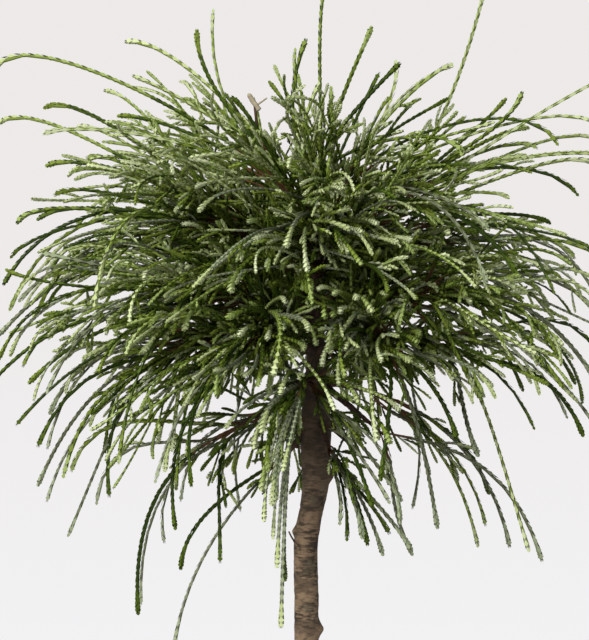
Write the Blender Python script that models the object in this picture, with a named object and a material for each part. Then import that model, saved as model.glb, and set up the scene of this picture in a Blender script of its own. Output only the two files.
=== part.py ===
# A western red cedar of the whipcord kind, grafted on a clear stem and grown to a round mop head.
# Its foliage is long cords of scale leaves, which fan out from woody boughs and bend over.
# Metres, +Z up. The origin is the middle of the flat cut under the trunk, at ground level,
# and the photograph looks along +Y.

import math
import random
from collections import namedtuple

import bpy
import numpy as np

# Trunk
GRAFT_HEIGHT = 0.50
TRUNK_TOP = 0.690
FOOT_RADIUS = 0.0105
WAIST_RADIUS = 0.0088
ROOT_FLARE = 0.0080
FLARE_HEIGHT = 0.020
ROOT_LOBES = 5
LOBE_DEPTH = 0.20
LOBE_TURN = 0.6
GRAFT_SWELL = 0.0034
SWELL_HEIGHT = 0.528
SWELL_SPAN = 0.042
TIP_RADIUS = 0.0022
LEADER_TAPER = 1.5
KINK_HEIGHT = 0.465
KINK_SPAN = 0.060
KINK_SHIFT = 0.0085
# How far the stem sways to +X and +Y, in how many radians a metre, and from what height
SWAY = (0.0016, 0.0012)
SWAY_TURN = (9.0, 7.0)
SWAY_START = 0.1
TRUNK_SIDES = 15
# Heights between which the trunk's rings are spread, with how many steps each stretch has
TRUNK_STRETCHES = ((0.0, 0.012, 3), (0.012, 0.045, 4), (0.045, 0.36, 5), (0.36, TRUNK_TOP, 15))
# Pruning knots: height, azimuth in degrees, how far each stands out, its spread
KNOTS = (
    (0.374, -12, 0.0042, 0.0080),
    (0.452, 186, 0.0026, 0.0060),
    (0.496, -4, 0.0034, 0.0075),
    (0.236, 118, 0.0028, 0.0070),
    (0.118, 250, 0.0026, 0.0080),
)
KNOT_FALL = 2.2

# A dead twig left on the front of the trunk: where it starts inside it, where it ends, how thick
SPUR_FOOT = (-0.001, -0.004, 0.432)
SPUR_TIP = (-0.0145, -0.017, 0.452)
SPUR_RADII = (0.0013, 0.0008)
SPUR_SAG = 0.002

# Crown
CROWN_HEIGHT = 0.62
CROWN_RADIUS = 0.256
DROOP = 2.7
TOPMOST_SLOPE = 40.0
WAVES = 3
WAVE_LEVELS = 0.45
WAVE_REACH = 0.05
GAP = 0.0003
SPACE_MARGIN = 0.0006

# Limbs
BOUGH_REACH = 0.032
STEM_REACH = 0.108
BOUGH_ROOT_RADIUS = 0.0044
BOUGH_TIP_RADIUS = 0.0025
# The most that a bough's root takes of the trunk's thickness there, and of its own sector
BOUGH_OF_TRUNK = 0.72
BOUGH_OF_SECTOR = 0.9
STEM_ROOT_RADIUS = 0.0030
STEM_TIP_RADIUS = 0.0024
CREST_STEM = (0.004, 0.002, 0.035)
BOUGH_SIDES = 6
BOUGH_RINGS = 4
LIMB_EDGE_ANGLE = 50
STEM_SIDES = 4
STEM_RINGS = 3

# Cords
CORD_RADIUS = 0.0050
CORD_THICKNESS = (0.88, 1.08)
CORD_ROOT_RADIUS = 0.0013
CORD_TIP_SHARE = 0.62
CORD_TAPER = 1.5
CORD_FULL_BY = 0.36
CORD_POINT = 1.3
CORD_RINGS = 6
# A cord's first and last control lengths as shares of its own, and how hard it heads for its tip
CORD_LEADS = (0.34, 0.36)
TIP_PULL = 1.2
# Degrees by which a cord bends down more than its level does at its tip
CORD_BEND = (-12, 16)
LONG_CORD_BEND = 10
# The part of a cord, from its root, that may lie among other shoots
ROOTED_SHARE = 0.12
SHORT_CORD_RINGS = 4
SHORT_CORD_EVERY = 4
SHORT_CORD_REACH = (0.30, 0.50)
# Steps that share a width out evenly however many are taken, across a space and up it
GOLDEN_STEPS = (0.618034, 0.754878)
LOOSENESS = 0.10
LOOSER_BY = 0.04
CORD_ATTEMPTS = 30
# How much of its space's half width and of its half height the tips are aimed over
TIP_WIDTH = 0.92
TIP_LEVELS = 0.46
# Where cords leave the stem: the last of them, how far back the outermost ones do, and how loosely
LAST_ROOT = 0.95
ROOT_SPAN = 0.86
ROOT_SCATTER = (0.7, 1.0)
SHORT_ROOT_SHARE = 0.5
LONG_CORD_ROOTS = (0.95, 0.8, 0.65, 0.5, 0.35, 0.2)
# Side shoots: one for every eighth long cord, off one of its middle joints, leaning out and down
SHOOT_EVERY = 8
SHOOT_ATTEMPTS = 10
SHOOT_JOINTS = (2, 4)
SHOOT_RINGS = 3
SHOOT_LENGTH = 0.042
SHOOT_LEAN = (0.8, 0.7)
SHOOT_SAG = 0.4
SHOOT_THICKNESS = 0.8
SHOOT_ROOT_THICKNESS = 0.5
SHOOT_ROOTED_SHARE = 0.45
SEED = 149

# One tier of the crown: how many masses it has round the trunk, the azimuth of the first, how many
# cords each carries, how far out their tips lie as a share of the crown's radius, and its floor, by
# its height at the trunk and by the angle up from the crown's middle at which it meets the outline.
# The next tier's floor is its ceiling.
Tier = namedtuple("Tier", "name masses turn cords near far floor_height floor_rim")
TIERS = (
    Tier("skirt", 4, 20, 6, 0.42, 0.80, 0.535, -78),
    Tier("lower", 5, 48, 8, 0.50, 0.88, 0.560, -52),
    Tier("middle", 6, 0, 11, 0.58, 1.00, 0.582, -30),
    Tier("upper", 6, 30, 12, 0.56, 1.03, 0.606, -6),
    Tier("high", 4, 10, 15, 0.52, 0.98, 0.632, 20),
    Tier("top", 2, 50, 14, 0.44, 0.80, 0.660, 46),
    Tier("crest", 1, 90, 6, 0.44, 0.74, 0.690, 70),
)

# Long cords that stand clear of the rest and set the outline, by where each ends
LONG_CORDS = (
    (0.017, 0.000, 0.896),
    (0.142, 0.020, 0.882),
    (-0.075, 0.015, 0.866),
    (-0.088, -0.030, 0.850),
    (0.052, 0.030, 0.858),
    (-0.142, 0.030, 0.838),
    (-0.246, -0.030, 0.806),
    (0.113, -0.020, 0.822),
    (0.244, 0.020, 0.800),
    (-0.252, 0.050, 0.766),
    (0.252, -0.050, 0.740),
    (0.262, 0.010, 0.640),
    (-0.252, -0.060, 0.560),
    (0.226, -0.060, 0.532),
    (-0.210, 0.030, 0.476),
    (-0.186, -0.040, 0.452),
    (-0.136, 0.020, 0.388),
    (-0.103, -0.015, 0.352),
    (-0.020, -0.105, 0.372),
    (0.020, 0.090, 0.400),
    (0.082, -0.020, 0.436),
    (0.138, 0.030, 0.440),
    (0.187, -0.020, 0.430),
)

GREEN = (0.118, 0.172, 0.052)
GREEN_ROUGHNESS = 0.62
BARK = (0.130, 0.086, 0.055)
BOUGH_BARK = (0.105, 0.060, 0.036)
BARK_ROUGHNESS = 0.88


def smooth_step(value):
    value = min(1.0, max(0.0, value))
    return value * value * (3 - 2 * value)


def unit(vector):
    return vector / np.linalg.norm(vector)


def point(x, y, z):
    return np.array((x, y, z), float)


# The trunk: its lean, its taper, and its skin as rings round the leaning line

def trunk_centre(height):
    kink = KINK_SHIFT * smooth_step((height - KINK_HEIGHT) / KINK_SPAN + 0.5)
    east, north = (reach * math.sin(height * turn) for reach, turn in zip(SWAY, SWAY_TURN))
    settle = smooth_step(height / SWAY_START)
    return point(kink + east * settle, north * settle, height)


def trunk_radius(height):
    if height < GRAFT_HEIGHT:
        stem = FOOT_RADIUS + (WAIST_RADIUS - FOOT_RADIUS) * height / GRAFT_HEIGHT
    else:
        share = (height - GRAFT_HEIGHT) / (TRUNK_TOP - GRAFT_HEIGHT)
        stem = WAIST_RADIUS + (TIP_RADIUS - WAIST_RADIUS) * share**LEADER_TAPER
    swell = GRAFT_SWELL * math.exp(-(((height - SWELL_HEIGHT) / SWELL_SPAN) ** 2))
    flare = ROOT_FLARE * math.exp(-height / FLARE_HEIGHT)
    return stem + swell + flare


def trunk_skin(height, azimuth):
    """The trunk's radius with its root lobes and knots, at a height and an azimuth in radians."""
    radius = trunk_radius(height)
    lobes = math.exp(-height / FLARE_HEIGHT) * math.cos(ROOT_LOBES * azimuth + LOBE_TURN)
    radius *= 1 + LOBE_DEPTH * lobes
    for knot_height, knot_azimuth, stands_out, spread in KNOTS:
        turn = azimuth - math.radians(knot_azimuth)
        turn = math.atan2(math.sin(turn), math.cos(turn))
        away = math.hypot(height - knot_height, turn * radius) / spread
        radius += stands_out * math.exp(-KNOT_FALL * away * away)
    return radius


def trunk_heights():
    """Ring heights, close together over the root flare and again over the head."""
    heights = [TRUNK_STRETCHES[0][0]]
    for low, high, steps in TRUNK_STRETCHES:
        heights += list(np.linspace(low, high, steps + 1)[1:])
    return heights


def trunk_rings(extra=0.0):
    rings = []
    for height in trunk_heights():
        centre = trunk_centre(height)
        ring = []
        for side in range(TRUNK_SIDES):
            azimuth = 2 * math.pi * side / TRUNK_SIDES
            radius = trunk_skin(height, azimuth) + extra
            ring.append(centre + radius * point(math.cos(azimuth), math.sin(azimuth), 0))
        rings.append(ring)
    return rings


# The crown's spaces: each mass of cords keeps between two planes through the trunk and between
# its tier's floor and ceiling, which curve down as the cords do

def tier_edge(index):
    """The floor of a tier: its height at the trunk and how steeply it leaves it."""
    if index >= len(TIERS):
        return TRUNK_TOP, TOPMOST_SLOPE
    tier = TIERS[index]
    rim = math.radians(tier.floor_rim)
    reach = CROWN_RADIUS * math.cos(rim)
    rise = CROWN_HEIGHT + CROWN_RADIUS * math.sin(rim) - tier.floor_height
    return tier.floor_height, rise / reach + DROOP * reach


def level_edge(level):
    """The same for the surface at any level, where 1.5 is halfway up the second tier."""
    index = min(int(level), len(TIERS) - 1)
    share = level - index
    low_height, low_slope = tier_edge(index)
    high_height, high_slope = tier_edge(index + 1)
    turn = math.atan(low_slope) + (math.atan(high_slope) - math.atan(low_slope)) * share
    return low_height + (high_height - low_height) * share, math.tan(turn)


def level_height(level, reach, azimuth):
    """The height of the surface at a level, which rises and falls in waves round the trunk so that
    the gaps between tiers never line up. The lowest and the topmost surface lie even, and so does
    every surface at the trunk, where the boughs need their room."""
    fade = max(0.0, min(1.0, level, len(TIERS) - 1 - level)) * min(1.0, reach / WAVE_REACH)
    height, slope = level_edge(level + WAVE_LEVELS * fade * math.sin(WAVES * azimuth))
    return height + reach * slope - DROOP * reach * reach


def level_slopes(level, reach, azimuth):
    """How steep that surface is outwards, and round the trunk."""
    step = 1e-4
    here = level_height(level, reach, azimuth)
    outward = (level_height(level, reach + step, azimuth) - here) / step
    around = (level_height(level, reach, azimuth + step / reach) - here) / step
    return outward, around


class Space:
    """The room that one mass keeps to."""

    def __init__(self, tier_index, mass_index):
        tier = TIERS[tier_index]
        self.tier = tier
        self.index = tier_index
        self.half_width = math.pi / tier.masses
        self.azimuth = math.radians(tier.turn) + 2 * self.half_width * mass_index
        suffix = f"_{mass_index + 1}" if tier.masses > 1 else ""
        self.mass_name = f"{tier.name}_foliage{suffix}"
        self.bough_name = f"{tier.name}_bough{suffix}"

    def at(self, turn, level, reach):
        """A point by azimuth from the middle of the space, level in the tier and distance out."""
        azimuth = self.azimuth + turn
        centre = trunk_centre(CROWN_HEIGHT)
        height = level_height(self.index + level, reach, azimuth)
        x = centre[0] + reach * math.cos(azimuth)
        y = centre[1] + reach * math.sin(azimuth)
        return point(x, y, height)

    def at_distance(self, turn, level, distance):
        """The point on such a line that lies a distance from the middle of the crown."""
        middle = trunk_centre(CROWN_HEIGHT)
        low, high = 0.0, distance
        for _ in range(30):
            reach = (low + high) / 2
            if np.linalg.norm(self.at(turn, level, reach) - middle) < distance:
                low = reach
            else:
                high = reach
        return self.at(turn, level, low)

    def holds(self, place, radius):
        """True if a ball of this radius at this place keeps inside the space."""
        room = radius + SPACE_MARGIN
        if place[2] < TRUNK_TOP + room:
            beside = trunk_centre(place[2])
            away = math.hypot(place[0] - beside[0], place[1] - beside[1])
            if away < trunk_radius(min(place[2], TRUNK_TOP)) + room:
                return False
        centre = trunk_centre(CROWN_HEIGHT)
        east, north = place[0] - centre[0], place[1] - centre[1]
        reach = math.hypot(east, north)
        azimuth = math.atan2(north, east)
        if self.tier.masses > 1:
            turn = azimuth - self.azimuth
            turn = abs(math.atan2(math.sin(turn), math.cos(turn)))
            if turn > self.half_width:
                return False
            if reach * math.sin(min(math.pi / 2, self.half_width - turn)) < room:
                return False
        for level, side in ((self.index, 1), (self.index + 1, -1)):
            if level == len(TIERS):
                continue
            above = place[2] - level_height(level, reach, azimuth)
            if side * above < room * math.hypot(1, *level_slopes(level, reach, azimuth)):
                return False
        return True


# Lines that limbs and cords follow

def bezier(points, shares):
    """Points on a Bezier curve of any order, at shares of its way, by repeated blending."""
    lines = [np.repeat(p[None], len(shares), 0) for p in points]
    shares = np.asarray(shares)[:, None]
    while len(lines) > 1:
        lines = [a + (b - a) * shares for a, b in zip(lines, lines[1:])]
    return lines[0]


def limb_points(space):
    """The three points that a bough and the stem after it are bent over."""
    foot = trunk_centre(space.at(0, 0.5, 0.001)[2])
    tip = space.at_distance(0, 0.5, STEM_REACH)
    bend = space.at_distance(0, 0.5, 0.5 * STEM_REACH)
    return foot, bend, tip


def limb_share(points, reach):
    """The share of a limb's way at which it is this far from its foot."""
    shares = np.linspace(0, 1, 101)
    away = np.linalg.norm(bezier(points, shares) - points[0], axis=1)
    return float(np.interp(reach, away, shares))


def cord_line(root, heading, tip, ending, rings):
    """A cord leaves its root along one heading and bends over to reach its tip along another."""
    first, last = (lead * np.linalg.norm(tip - root) for lead in CORD_LEADS)
    controls = (root, root + heading * first, tip - ending * last, tip)
    return bezier(controls, np.linspace(0, 1, rings))


def cord_heading(stem, share, tip):
    """Out of the stem, halfway between the stem's own way and the tip."""
    root, ahead = bezier(stem, [share, share + 0.02])
    return root, unit(unit(ahead - root) + TIP_PULL * unit(tip - root))


def cord_ending(level, tip, extra):
    """The way a cord points at its tip: outwards, along the surface of its level, and extra
    degrees further down."""
    centre = trunk_centre(CROWN_HEIGHT)
    out = point(tip[0] - centre[0], tip[1] - centre[1], 0)
    reach = np.linalg.norm(out)
    azimuth = math.atan2(out[1], out[0])
    turn = math.atan(level_slopes(level, reach, azimuth)[0]) - math.radians(extra)
    return math.cos(turn) * out / reach + math.sin(turn) * point(0, 0, 1)


def cord_radii(rings, thick, root_radius):
    """Thin and woody at the root, full from a third of the way, then slowly thinner."""
    shares = np.linspace(0, 1, rings)
    filled = np.array([smooth_step(share / CORD_FULL_BY) for share in shares])
    thinner = 1 - (1 - CORD_TIP_SHARE) * shares**CORD_TAPER
    return (root_radius + (thick - root_radius) * filled) * thinner


# What has grown, so that nothing new touches it

class Grown:
    """Balls along the shoots of one mass, kept to test new ones against."""

    def __init__(self):
        self.places = np.zeros((0, 3))
        self.radii = np.zeros(0)

    def clear_of(self, line, radii):
        if not len(self.places):
            return True
        apart = np.linalg.norm(line[:, None] - self.places[None], axis=2)
        return bool((apart > radii[:, None] + self.radii[None] + SPACE_MARGIN).all())

    def add(self, line, radii):
        self.places = np.concatenate([self.places, line])
        self.radii = np.concatenate([self.radii, radii])


def fine_line(line, radii, first):
    """The line and its radii at closer steps, from a share of its way on."""
    old = np.linspace(0, 1, len(line))
    new = np.linspace(first, 1, 4 * len(line))
    places = np.stack([np.interp(new, old, line[:, axis]) for axis in range(3)], axis=1)
    return places, np.interp(new, old, radii)


def fits(space, grown, line, radii, first):
    places, thick = fine_line(line, radii, first)
    if not all(space.holds(place, radius) for place, radius in zip(places, thick)):
        return False
    return grown.clear_of(places, thick)


# The seeded rule by which a mass grows from its stem

def grow_long_cords(space, stem, grown):
    cords = []
    for tip in LONG_CORDS:
        tip = np.array(tip)
        if not space.holds(tip, CORD_RADIUS):
            continue
        for share in LONG_CORD_ROOTS:
            root, heading = cord_heading(stem, share, tip)
            ending = cord_ending(space.index + 0.5, tip, LONG_CORD_BEND)
            line = cord_line(root, heading, tip, ending, CORD_RINGS)
            radii = cord_radii(CORD_RINGS, CORD_RADIUS, CORD_ROOT_RADIUS)
            if fits(space, grown, line, radii, ROOTED_SHARE):
                cords.append((line, radii))
                grown.add(*fine_line(line, radii, ROOTED_SHARE))
                break
    return cords


def golden_place(steps, loose, dice):
    """A place between -1 and 1, which starts in the middle, shifted at random by its looseness."""
    return 2 * ((0.5 + steps + loose * dice.uniform(-0.5, 0.5)) % 1.0) - 1


def grow_cords(space, stem, dice, grown):
    """Cords with their tips spread evenly over the space by golden steps. Those to its middle
    leave the stem near its end, and those to its edges nearer the trunk. Every fourth is short."""
    cords = []
    for number in range(space.tier.cords):
        near, far, rings = space.tier.near, space.tier.far, CORD_RINGS
        if number % SHORT_CORD_EVERY == SHORT_CORD_EVERY - 1:
            near, far = SHORT_CORD_REACH
            rings = SHORT_CORD_RINGS
        for attempt in range(CORD_ATTEMPTS):
            loose = LOOSENESS + LOOSER_BY * attempt
            aside, level = (golden_place(number * step, loose, dice) for step in GOLDEN_STEPS)
            share_out = near + (far - near) * math.sqrt(dice.random())
            tip_level = 0.5 + TIP_LEVELS * level
            turn = TIP_WIDTH * space.half_width * aside
            tip = space.at_distance(turn, tip_level, share_out * CROWN_RADIUS)
            share = LAST_ROOT - ROOT_SPAN * max(abs(aside), abs(level)) * dice.uniform(*ROOT_SCATTER)
            if rings == SHORT_CORD_RINGS:
                share *= SHORT_ROOT_SHARE
            root, heading = cord_heading(stem, share, tip)
            ending = cord_ending(space.index + tip_level, tip, dice.uniform(*CORD_BEND))
            line = cord_line(root, heading, tip, ending, rings)
            thick = CORD_RADIUS * dice.uniform(*CORD_THICKNESS)
            radii = cord_radii(rings, thick, CORD_ROOT_RADIUS)
            if fits(space, grown, line, radii, ROOTED_SHARE):
                cords.append((line, radii))
                grown.add(*fine_line(line, radii, ROOTED_SHARE))
                break
    return cords


def grow_side_shoots(space, cords, dice, grown):
    """A short shoot off some of the long cords, leaning out and down."""
    shoots = []
    thick = SHOOT_THICKNESS * CORD_RADIUS
    radii = cord_radii(SHOOT_RINGS, thick, SHOOT_ROOT_THICKNESS * CORD_RADIUS)
    for line in [line for line, _ in cords if len(line) == CORD_RINGS][::SHOOT_EVERY]:
        for _ in range(SHOOT_ATTEMPTS):
            joint = dice.randint(*SHOOT_JOINTS)
            root = line[joint]
            along = unit(line[joint + 1] - root)
            aside = unit(np.cross(along, [dice.uniform(-1, 1) for _ in range(3)]))
            heading, ending = (unit(along + lean * aside) for lean in SHOOT_LEAN)
            ending = unit(ending - point(0, 0, SHOOT_SAG))
            tip = root + SHOOT_LENGTH * unit(heading + ending)
            shoot = cord_line(root, heading, tip, ending, SHOOT_RINGS)
            if fits(space, grown, shoot, radii, SHOOT_ROOTED_SHARE):
                shoots.append((shoot, radii))
                grown.add(*fine_line(shoot, radii, SHOOT_ROOTED_SHARE))
                break
    return shoots


# Meshes

def carried_frames(line):
    """For each point of a line, two directions across it, carried along without twisting."""
    along = np.gradient(line, axis=0)
    along /= np.linalg.norm(along, axis=1)[:, None]
    side = np.cross(along[0], (0, 0, 1) if abs(along[0][2]) < 0.9 else (1, 0, 0))
    frames = []
    for direction in along:
        side = unit(side - direction * np.dot(side, direction))
        frames.append((side, np.cross(direction, side)))
    return frames


def tube_rings(line, radii, sides, step_turn=0.0):
    rings = []
    for index, (side, up) in enumerate(carried_frames(line)):
        ring = []
        for corner in range(sides):
            turn = 2 * math.pi * corner / sides + index * step_turn
            across = math.cos(turn) * side + math.sin(turn) * up
            ring.append(line[index] + radii[index] * across)
        rings.append(ring)
    return rings


def skin_rings(name, rings, apex=None, toothed=False):
    """A closed mesh through rings of equal number, with flat ends, or a point at the far end.
    A toothed one has each ring half a step round from the last, so its faces are triangles."""
    sides = len(rings[0])
    corners = [tuple(corner) for ring in rings for corner in ring]
    faces = [tuple(range(sides))[::-1]]
    for row in range(len(rings) - 1):
        low, high = row * sides, (row + 1) * sides
        for side in range(sides):
            after = (side + 1) % sides
            if toothed:
                faces.append((low + side, low + after, high + side))
                faces.append((high + side, low + after, high + after))
            else:
                faces.append((low + side, low + after, high + after, high + side))
    last = (len(rings) - 1) * sides
    if apex is None:
        faces.append(tuple(range(last, last + sides)))
    else:
        corners.append(tuple(apex))
        for side in range(sides):
            faces.append((last + side, last + (side + 1) % sides, len(corners) - 1))
    mesh = bpy.data.meshes.new(name)
    mesh.from_pydata(corners, [], faces)
    mesh.validate()
    return mesh


def cord_mesh(name, line, radii):
    """A three-sided cord whose corners alternate, so that its edge is toothed like the scales."""
    rings = tube_rings(line, radii, 3, math.pi / 3)
    apex = line[-1] + unit(line[-1] - line[-2]) * radii[-1] * CORD_POINT
    return skin_rings(name, rings, apex, toothed=True)


def add_object(name, mesh, material, collection=None):
    made = bpy.data.objects.new(name, mesh)
    mesh.materials.append(material)
    (collection or bpy.context.scene.collection).objects.link(made)
    return made


def finish_material(name, colour, roughness):
    material = bpy.data.materials.new(name)
    material.use_nodes = True
    shader = material.node_tree.nodes["Principled BSDF"]
    shader.inputs["Base Color"].default_value = (*colour, 1)
    shader.inputs["Roughness"].default_value = roughness
    shader.inputs["Metallic"].default_value = 0
    return material


# The objects

def clear_scene():
    for old in list(bpy.data.objects):
        bpy.data.objects.remove(old)


def smooth_limb(limb):
    limb.data.shade_smooth()
    limb.data.set_sharp_from_angle(angle=math.radians(LIMB_EDGE_ANGLE))


def make_trunk(bark):
    smooth_limb(add_object("trunk", skin_rings("trunk", trunk_rings()), bark))
    cutter = add_object("trunk_clearance", skin_rings("trunk_clearance", trunk_rings(GAP)), bark)
    cutter.hide_render = True
    cutter.display_type = "WIRE"
    return cutter


def make_limb(name, line, radii, cutter, bark):
    """A tapering limb from inside the trunk, whose foot is then cut back clear of its skin."""
    limb = add_object(name, skin_rings(name, tube_rings(line, radii, BOUGH_SIDES)), bark)
    smooth_limb(limb)
    cut = limb.modifiers.new("clear_of_trunk", "BOOLEAN")
    cut.operation = "DIFFERENCE"
    cut.object = cutter
    cut.solver = "EXACT"


def make_bough(space, limb, split, cutter, bark):
    """Returns the bough's line and radii."""
    line = bezier(limb, np.linspace(0, split, BOUGH_RINGS))
    wood = trunk_radius(limb[0][2])
    sector = wood * math.sin(space.half_width)
    root_radius = min(BOUGH_ROOT_RADIUS, BOUGH_OF_TRUNK * wood, BOUGH_OF_SECTOR * sector)
    radii = np.linspace(root_radius, BOUGH_TIP_RADIUS, BOUGH_RINGS)
    make_limb(space.bough_name, line, radii, cutter, bark)
    return line, radii


def make_spur(cutter, bark):
    line = np.linspace(SPUR_FOOT, SPUR_TIP, 3)
    line[1][2] -= SPUR_SAG
    make_limb("spur", line, np.linspace(*SPUR_RADII, 3), cutter, bark)


def make_mass(space, stem, green, dice, grown):
    """The stem with its cords and side shoots, joined into one solid by one union."""
    line = bezier(stem, np.linspace(0, 1, STEM_RINGS))
    radii = np.linspace(STEM_ROOT_RADIUS, STEM_TIP_RADIUS, STEM_RINGS)
    mesh = skin_rings(space.mass_name, tube_rings(line, radii, STEM_SIDES))
    mass = add_object(space.mass_name, mesh, green)
    cords = grow_long_cords(space, stem, grown)
    cords += grow_cords(space, stem, dice, grown)
    cords += grow_side_shoots(space, cords, dice, grown)
    shoots = bpy.data.collections.new(space.mass_name + "_cords")
    bpy.context.scene.collection.children.link(shoots)
    for number, (cord, thick) in enumerate(cords):
        name = f"{space.mass_name}_cord_{number}"
        add_object(name, cord_mesh(name, cord, thick), green, shoots)
    join = mass.modifiers.new("join_cords", "BOOLEAN")
    join.operation = "UNION"
    join.operand_type = "COLLECTION"
    join.collection = shoots
    join.solver = "EXACT"
    bpy.context.view_layer.objects.active = mass
    bpy.ops.object.modifier_apply(modifier=join.name)
    for cord in list(shoots.objects):
        bpy.data.objects.remove(cord)
    bpy.data.collections.remove(shoots)
    return len(cords)


def split_limb(limb):
    """The bough's end as a share of the limb, and the stem's own three points, a gap further on."""
    split = limb_share(limb, BOUGH_REACH)
    length = np.linalg.norm(limb[2] - limb[0])
    start = split + GAP / length
    foot, middle, tip = bezier(limb, [start, (start + 1) / 2, 1])
    return split, (foot, 2 * middle - (foot + tip) / 2, tip)


def make_crest(space, green, dice):
    """The topmost mass stands on the trunk's own tip."""
    foot = trunk_centre(TRUNK_TOP) + point(0, 0, GAP)
    tip = foot + point(*CREST_STEM)
    return make_mass(space, (foot, (foot + tip) / 2, tip), green, dice, Grown())


def main():
    clear_scene()
    bark = finish_material("bark", BARK, BARK_ROUGHNESS)
    bough_bark = finish_material("bough_bark", BOUGH_BARK, BARK_ROUGHNESS)
    green = finish_material("foliage", GREEN, GREEN_ROUGHNESS)
    cutter = make_trunk(bark)
    make_spur(cutter, bark)
    count = 0
    for tier_index, tier in enumerate(TIERS):
        for mass_index in range(tier.masses):
            space = Space(tier_index, mass_index)
            dice = random.Random(SEED + 10 * tier_index + mass_index)
            if tier.name == "crest":
                count += make_crest(space, green, dice)
                continue
            limb = limb_points(space)
            split, stem = split_limb(limb)
            grown = Grown()
            grown.add(*fine_line(*make_bough(space, limb, split, cutter, bough_bark), 0))
            count += make_mass(space, stem, green, dice, grown)
    print("cords:", count)


main()
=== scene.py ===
# Dresses the whipcord cedar: bark relief on its stem and boughs, and cords of scale leaves that grow
# on from the limbs by the same rule as the solids, thinner and several times as many.
# Metres, +Z up; the photograph looks along +Y.

import math

import bpy
import numpy as np
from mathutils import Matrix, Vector


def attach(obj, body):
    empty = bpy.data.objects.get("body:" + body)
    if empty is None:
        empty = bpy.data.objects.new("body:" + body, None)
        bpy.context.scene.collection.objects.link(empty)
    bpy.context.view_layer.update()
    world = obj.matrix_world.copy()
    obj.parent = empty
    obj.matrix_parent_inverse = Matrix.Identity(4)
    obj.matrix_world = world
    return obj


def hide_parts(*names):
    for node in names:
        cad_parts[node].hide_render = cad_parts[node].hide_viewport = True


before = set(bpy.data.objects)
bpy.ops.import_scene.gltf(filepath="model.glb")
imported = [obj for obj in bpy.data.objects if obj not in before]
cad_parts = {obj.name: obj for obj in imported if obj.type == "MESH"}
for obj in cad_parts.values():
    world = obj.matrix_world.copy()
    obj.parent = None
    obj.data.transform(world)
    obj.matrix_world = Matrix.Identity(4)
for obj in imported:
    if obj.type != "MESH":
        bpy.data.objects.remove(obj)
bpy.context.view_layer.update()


# Shared arithmetic on whole arrays

def smoothStep(value):
    value = np.clip(value, 0, 1)
    return value * value * (3 - 2 * value)


def unit(vectors):
    return vectors / np.linalg.norm(vectors, axis=-1, keepdims=True)


def wrapTurn(turn):
    return np.arctan2(np.sin(turn), np.cos(turn))


def curve(controls, shares):
    # Points on Bezier curves of any order at shares of their way, by repeated blending:
    # controls (..., order, 3) and shares (..., points) give (..., points, 3)
    lines = np.repeat(controls[..., None, :, :], shares.shape[-1], axis=-3)
    step = shares[..., None, None]
    while lines.shape[-2] > 1:
        lines = lines[..., :-1, :] + (lines[..., 1:, :] - lines[..., :-1, :]) * step
    return lines[..., 0, :]


def heading(controls, shares):
    # The way that such curves run, from the curve through the steps between their controls
    return unit(curve(np.diff(controls, axis=-2), shares))


def valueNoise(x, y, around, seed, cells=256):
    # Smooth noise from -1 to 1 on a lattice of random values, which closes after a number of cells in x
    table = np.random.default_rng(seed).uniform(-1, 1, (cells, cells))
    x0, y0 = np.floor(x).astype(int), np.floor(y).astype(int)
    u, v = smoothStep(x - x0), smoothStep(y - y0)
    left, right = x0 % around, (x0 + 1) % around
    below, above = y0 % cells, (y0 + 1) % cells
    low = table[left, below] * (1 - u) + table[right, below] * u
    high = table[left, above] * (1 - u) + table[right, above] * u
    return low * (1 - v) + high * v


# Meshes and nodes

def addObject(name, data):
    made = bpy.data.objects.new(name, data)
    bpy.context.scene.collection.objects.link(made)
    return made


def makePiece(name, points, triangles, finishes, finishOf=None):
    mesh = bpy.data.meshes.new(name)
    mesh.vertices.add(len(points))
    mesh.vertices.foreach_set("co", np.ascontiguousarray(points, np.float32).ravel())
    mesh.loops.add(3 * len(triangles))
    mesh.loops.foreach_set("vertex_index", np.ascontiguousarray(triangles, np.int32).ravel())
    mesh.polygons.add(len(triangles))
    mesh.polygons.foreach_set("loop_start", np.arange(0, 3 * len(triangles), 3, dtype=np.int32))
    for finish in finishes:
        mesh.materials.append(finish)
    if finishOf is not None:
        mesh.polygons.foreach_set("material_index", np.ascontiguousarray(finishOf, np.int32))
    mesh.polygons.foreach_set("use_smooth", np.full(len(triangles), True))
    mesh.update(calc_edges=True)
    mesh.validate()
    return addObject(name, mesh)


def dress(piece, nodes):
    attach(piece, "root")
    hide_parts(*nodes)
    print(piece.name, "has", len(piece.data.polygons), "faces")


def tubeTriangles(rows, columns):
    # A grid that closes round its columns, and a fan at each end to the two points that follow the grid's
    start, column = np.meshgrid(np.arange(rows - 1) * columns, np.arange(columns), indexing="ij")
    after = (column + 1) % columns
    a, b, c, d = start + column, start + after, start + columns + after, start + columns + column
    side, beside, top = column[0], after[0], (rows - 1) * columns
    first = np.full(columns, rows * columns)
    faces = ((a, b, c), (a, c, d), (beside, side, first), (top + side, top + beside, first + 1))
    return np.concatenate([np.stack(face, -1).reshape(-1, 3) for face in faces])


class Wire:
    # One output of a node; arithmetic on it adds Math nodes
    def __init__(self, maker, socket):
        self.maker = maker
        self.socket = socket

    def math(self, operation, *values):
        return self.maker.node("ShaderNodeMath", {"operation": operation}, dict(enumerate(values)))

    def __add__(self, other):
        return self.math("ADD", self, other)

    def __sub__(self, other):
        return self.math("SUBTRACT", self, other)

    def __rsub__(self, other):
        return self.math("SUBTRACT", other, self)

    def __mul__(self, other):
        return self.math("MULTIPLY", self, other)

    __radd__ = __add__
    __rmul__ = __mul__

    def clamped(self, low, high):
        return self.maker.node(
            "ShaderNodeMapRange", {"interpolation_type": "SMOOTHSTEP"}, {0: self, 1: low, 2: high}
        )


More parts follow.
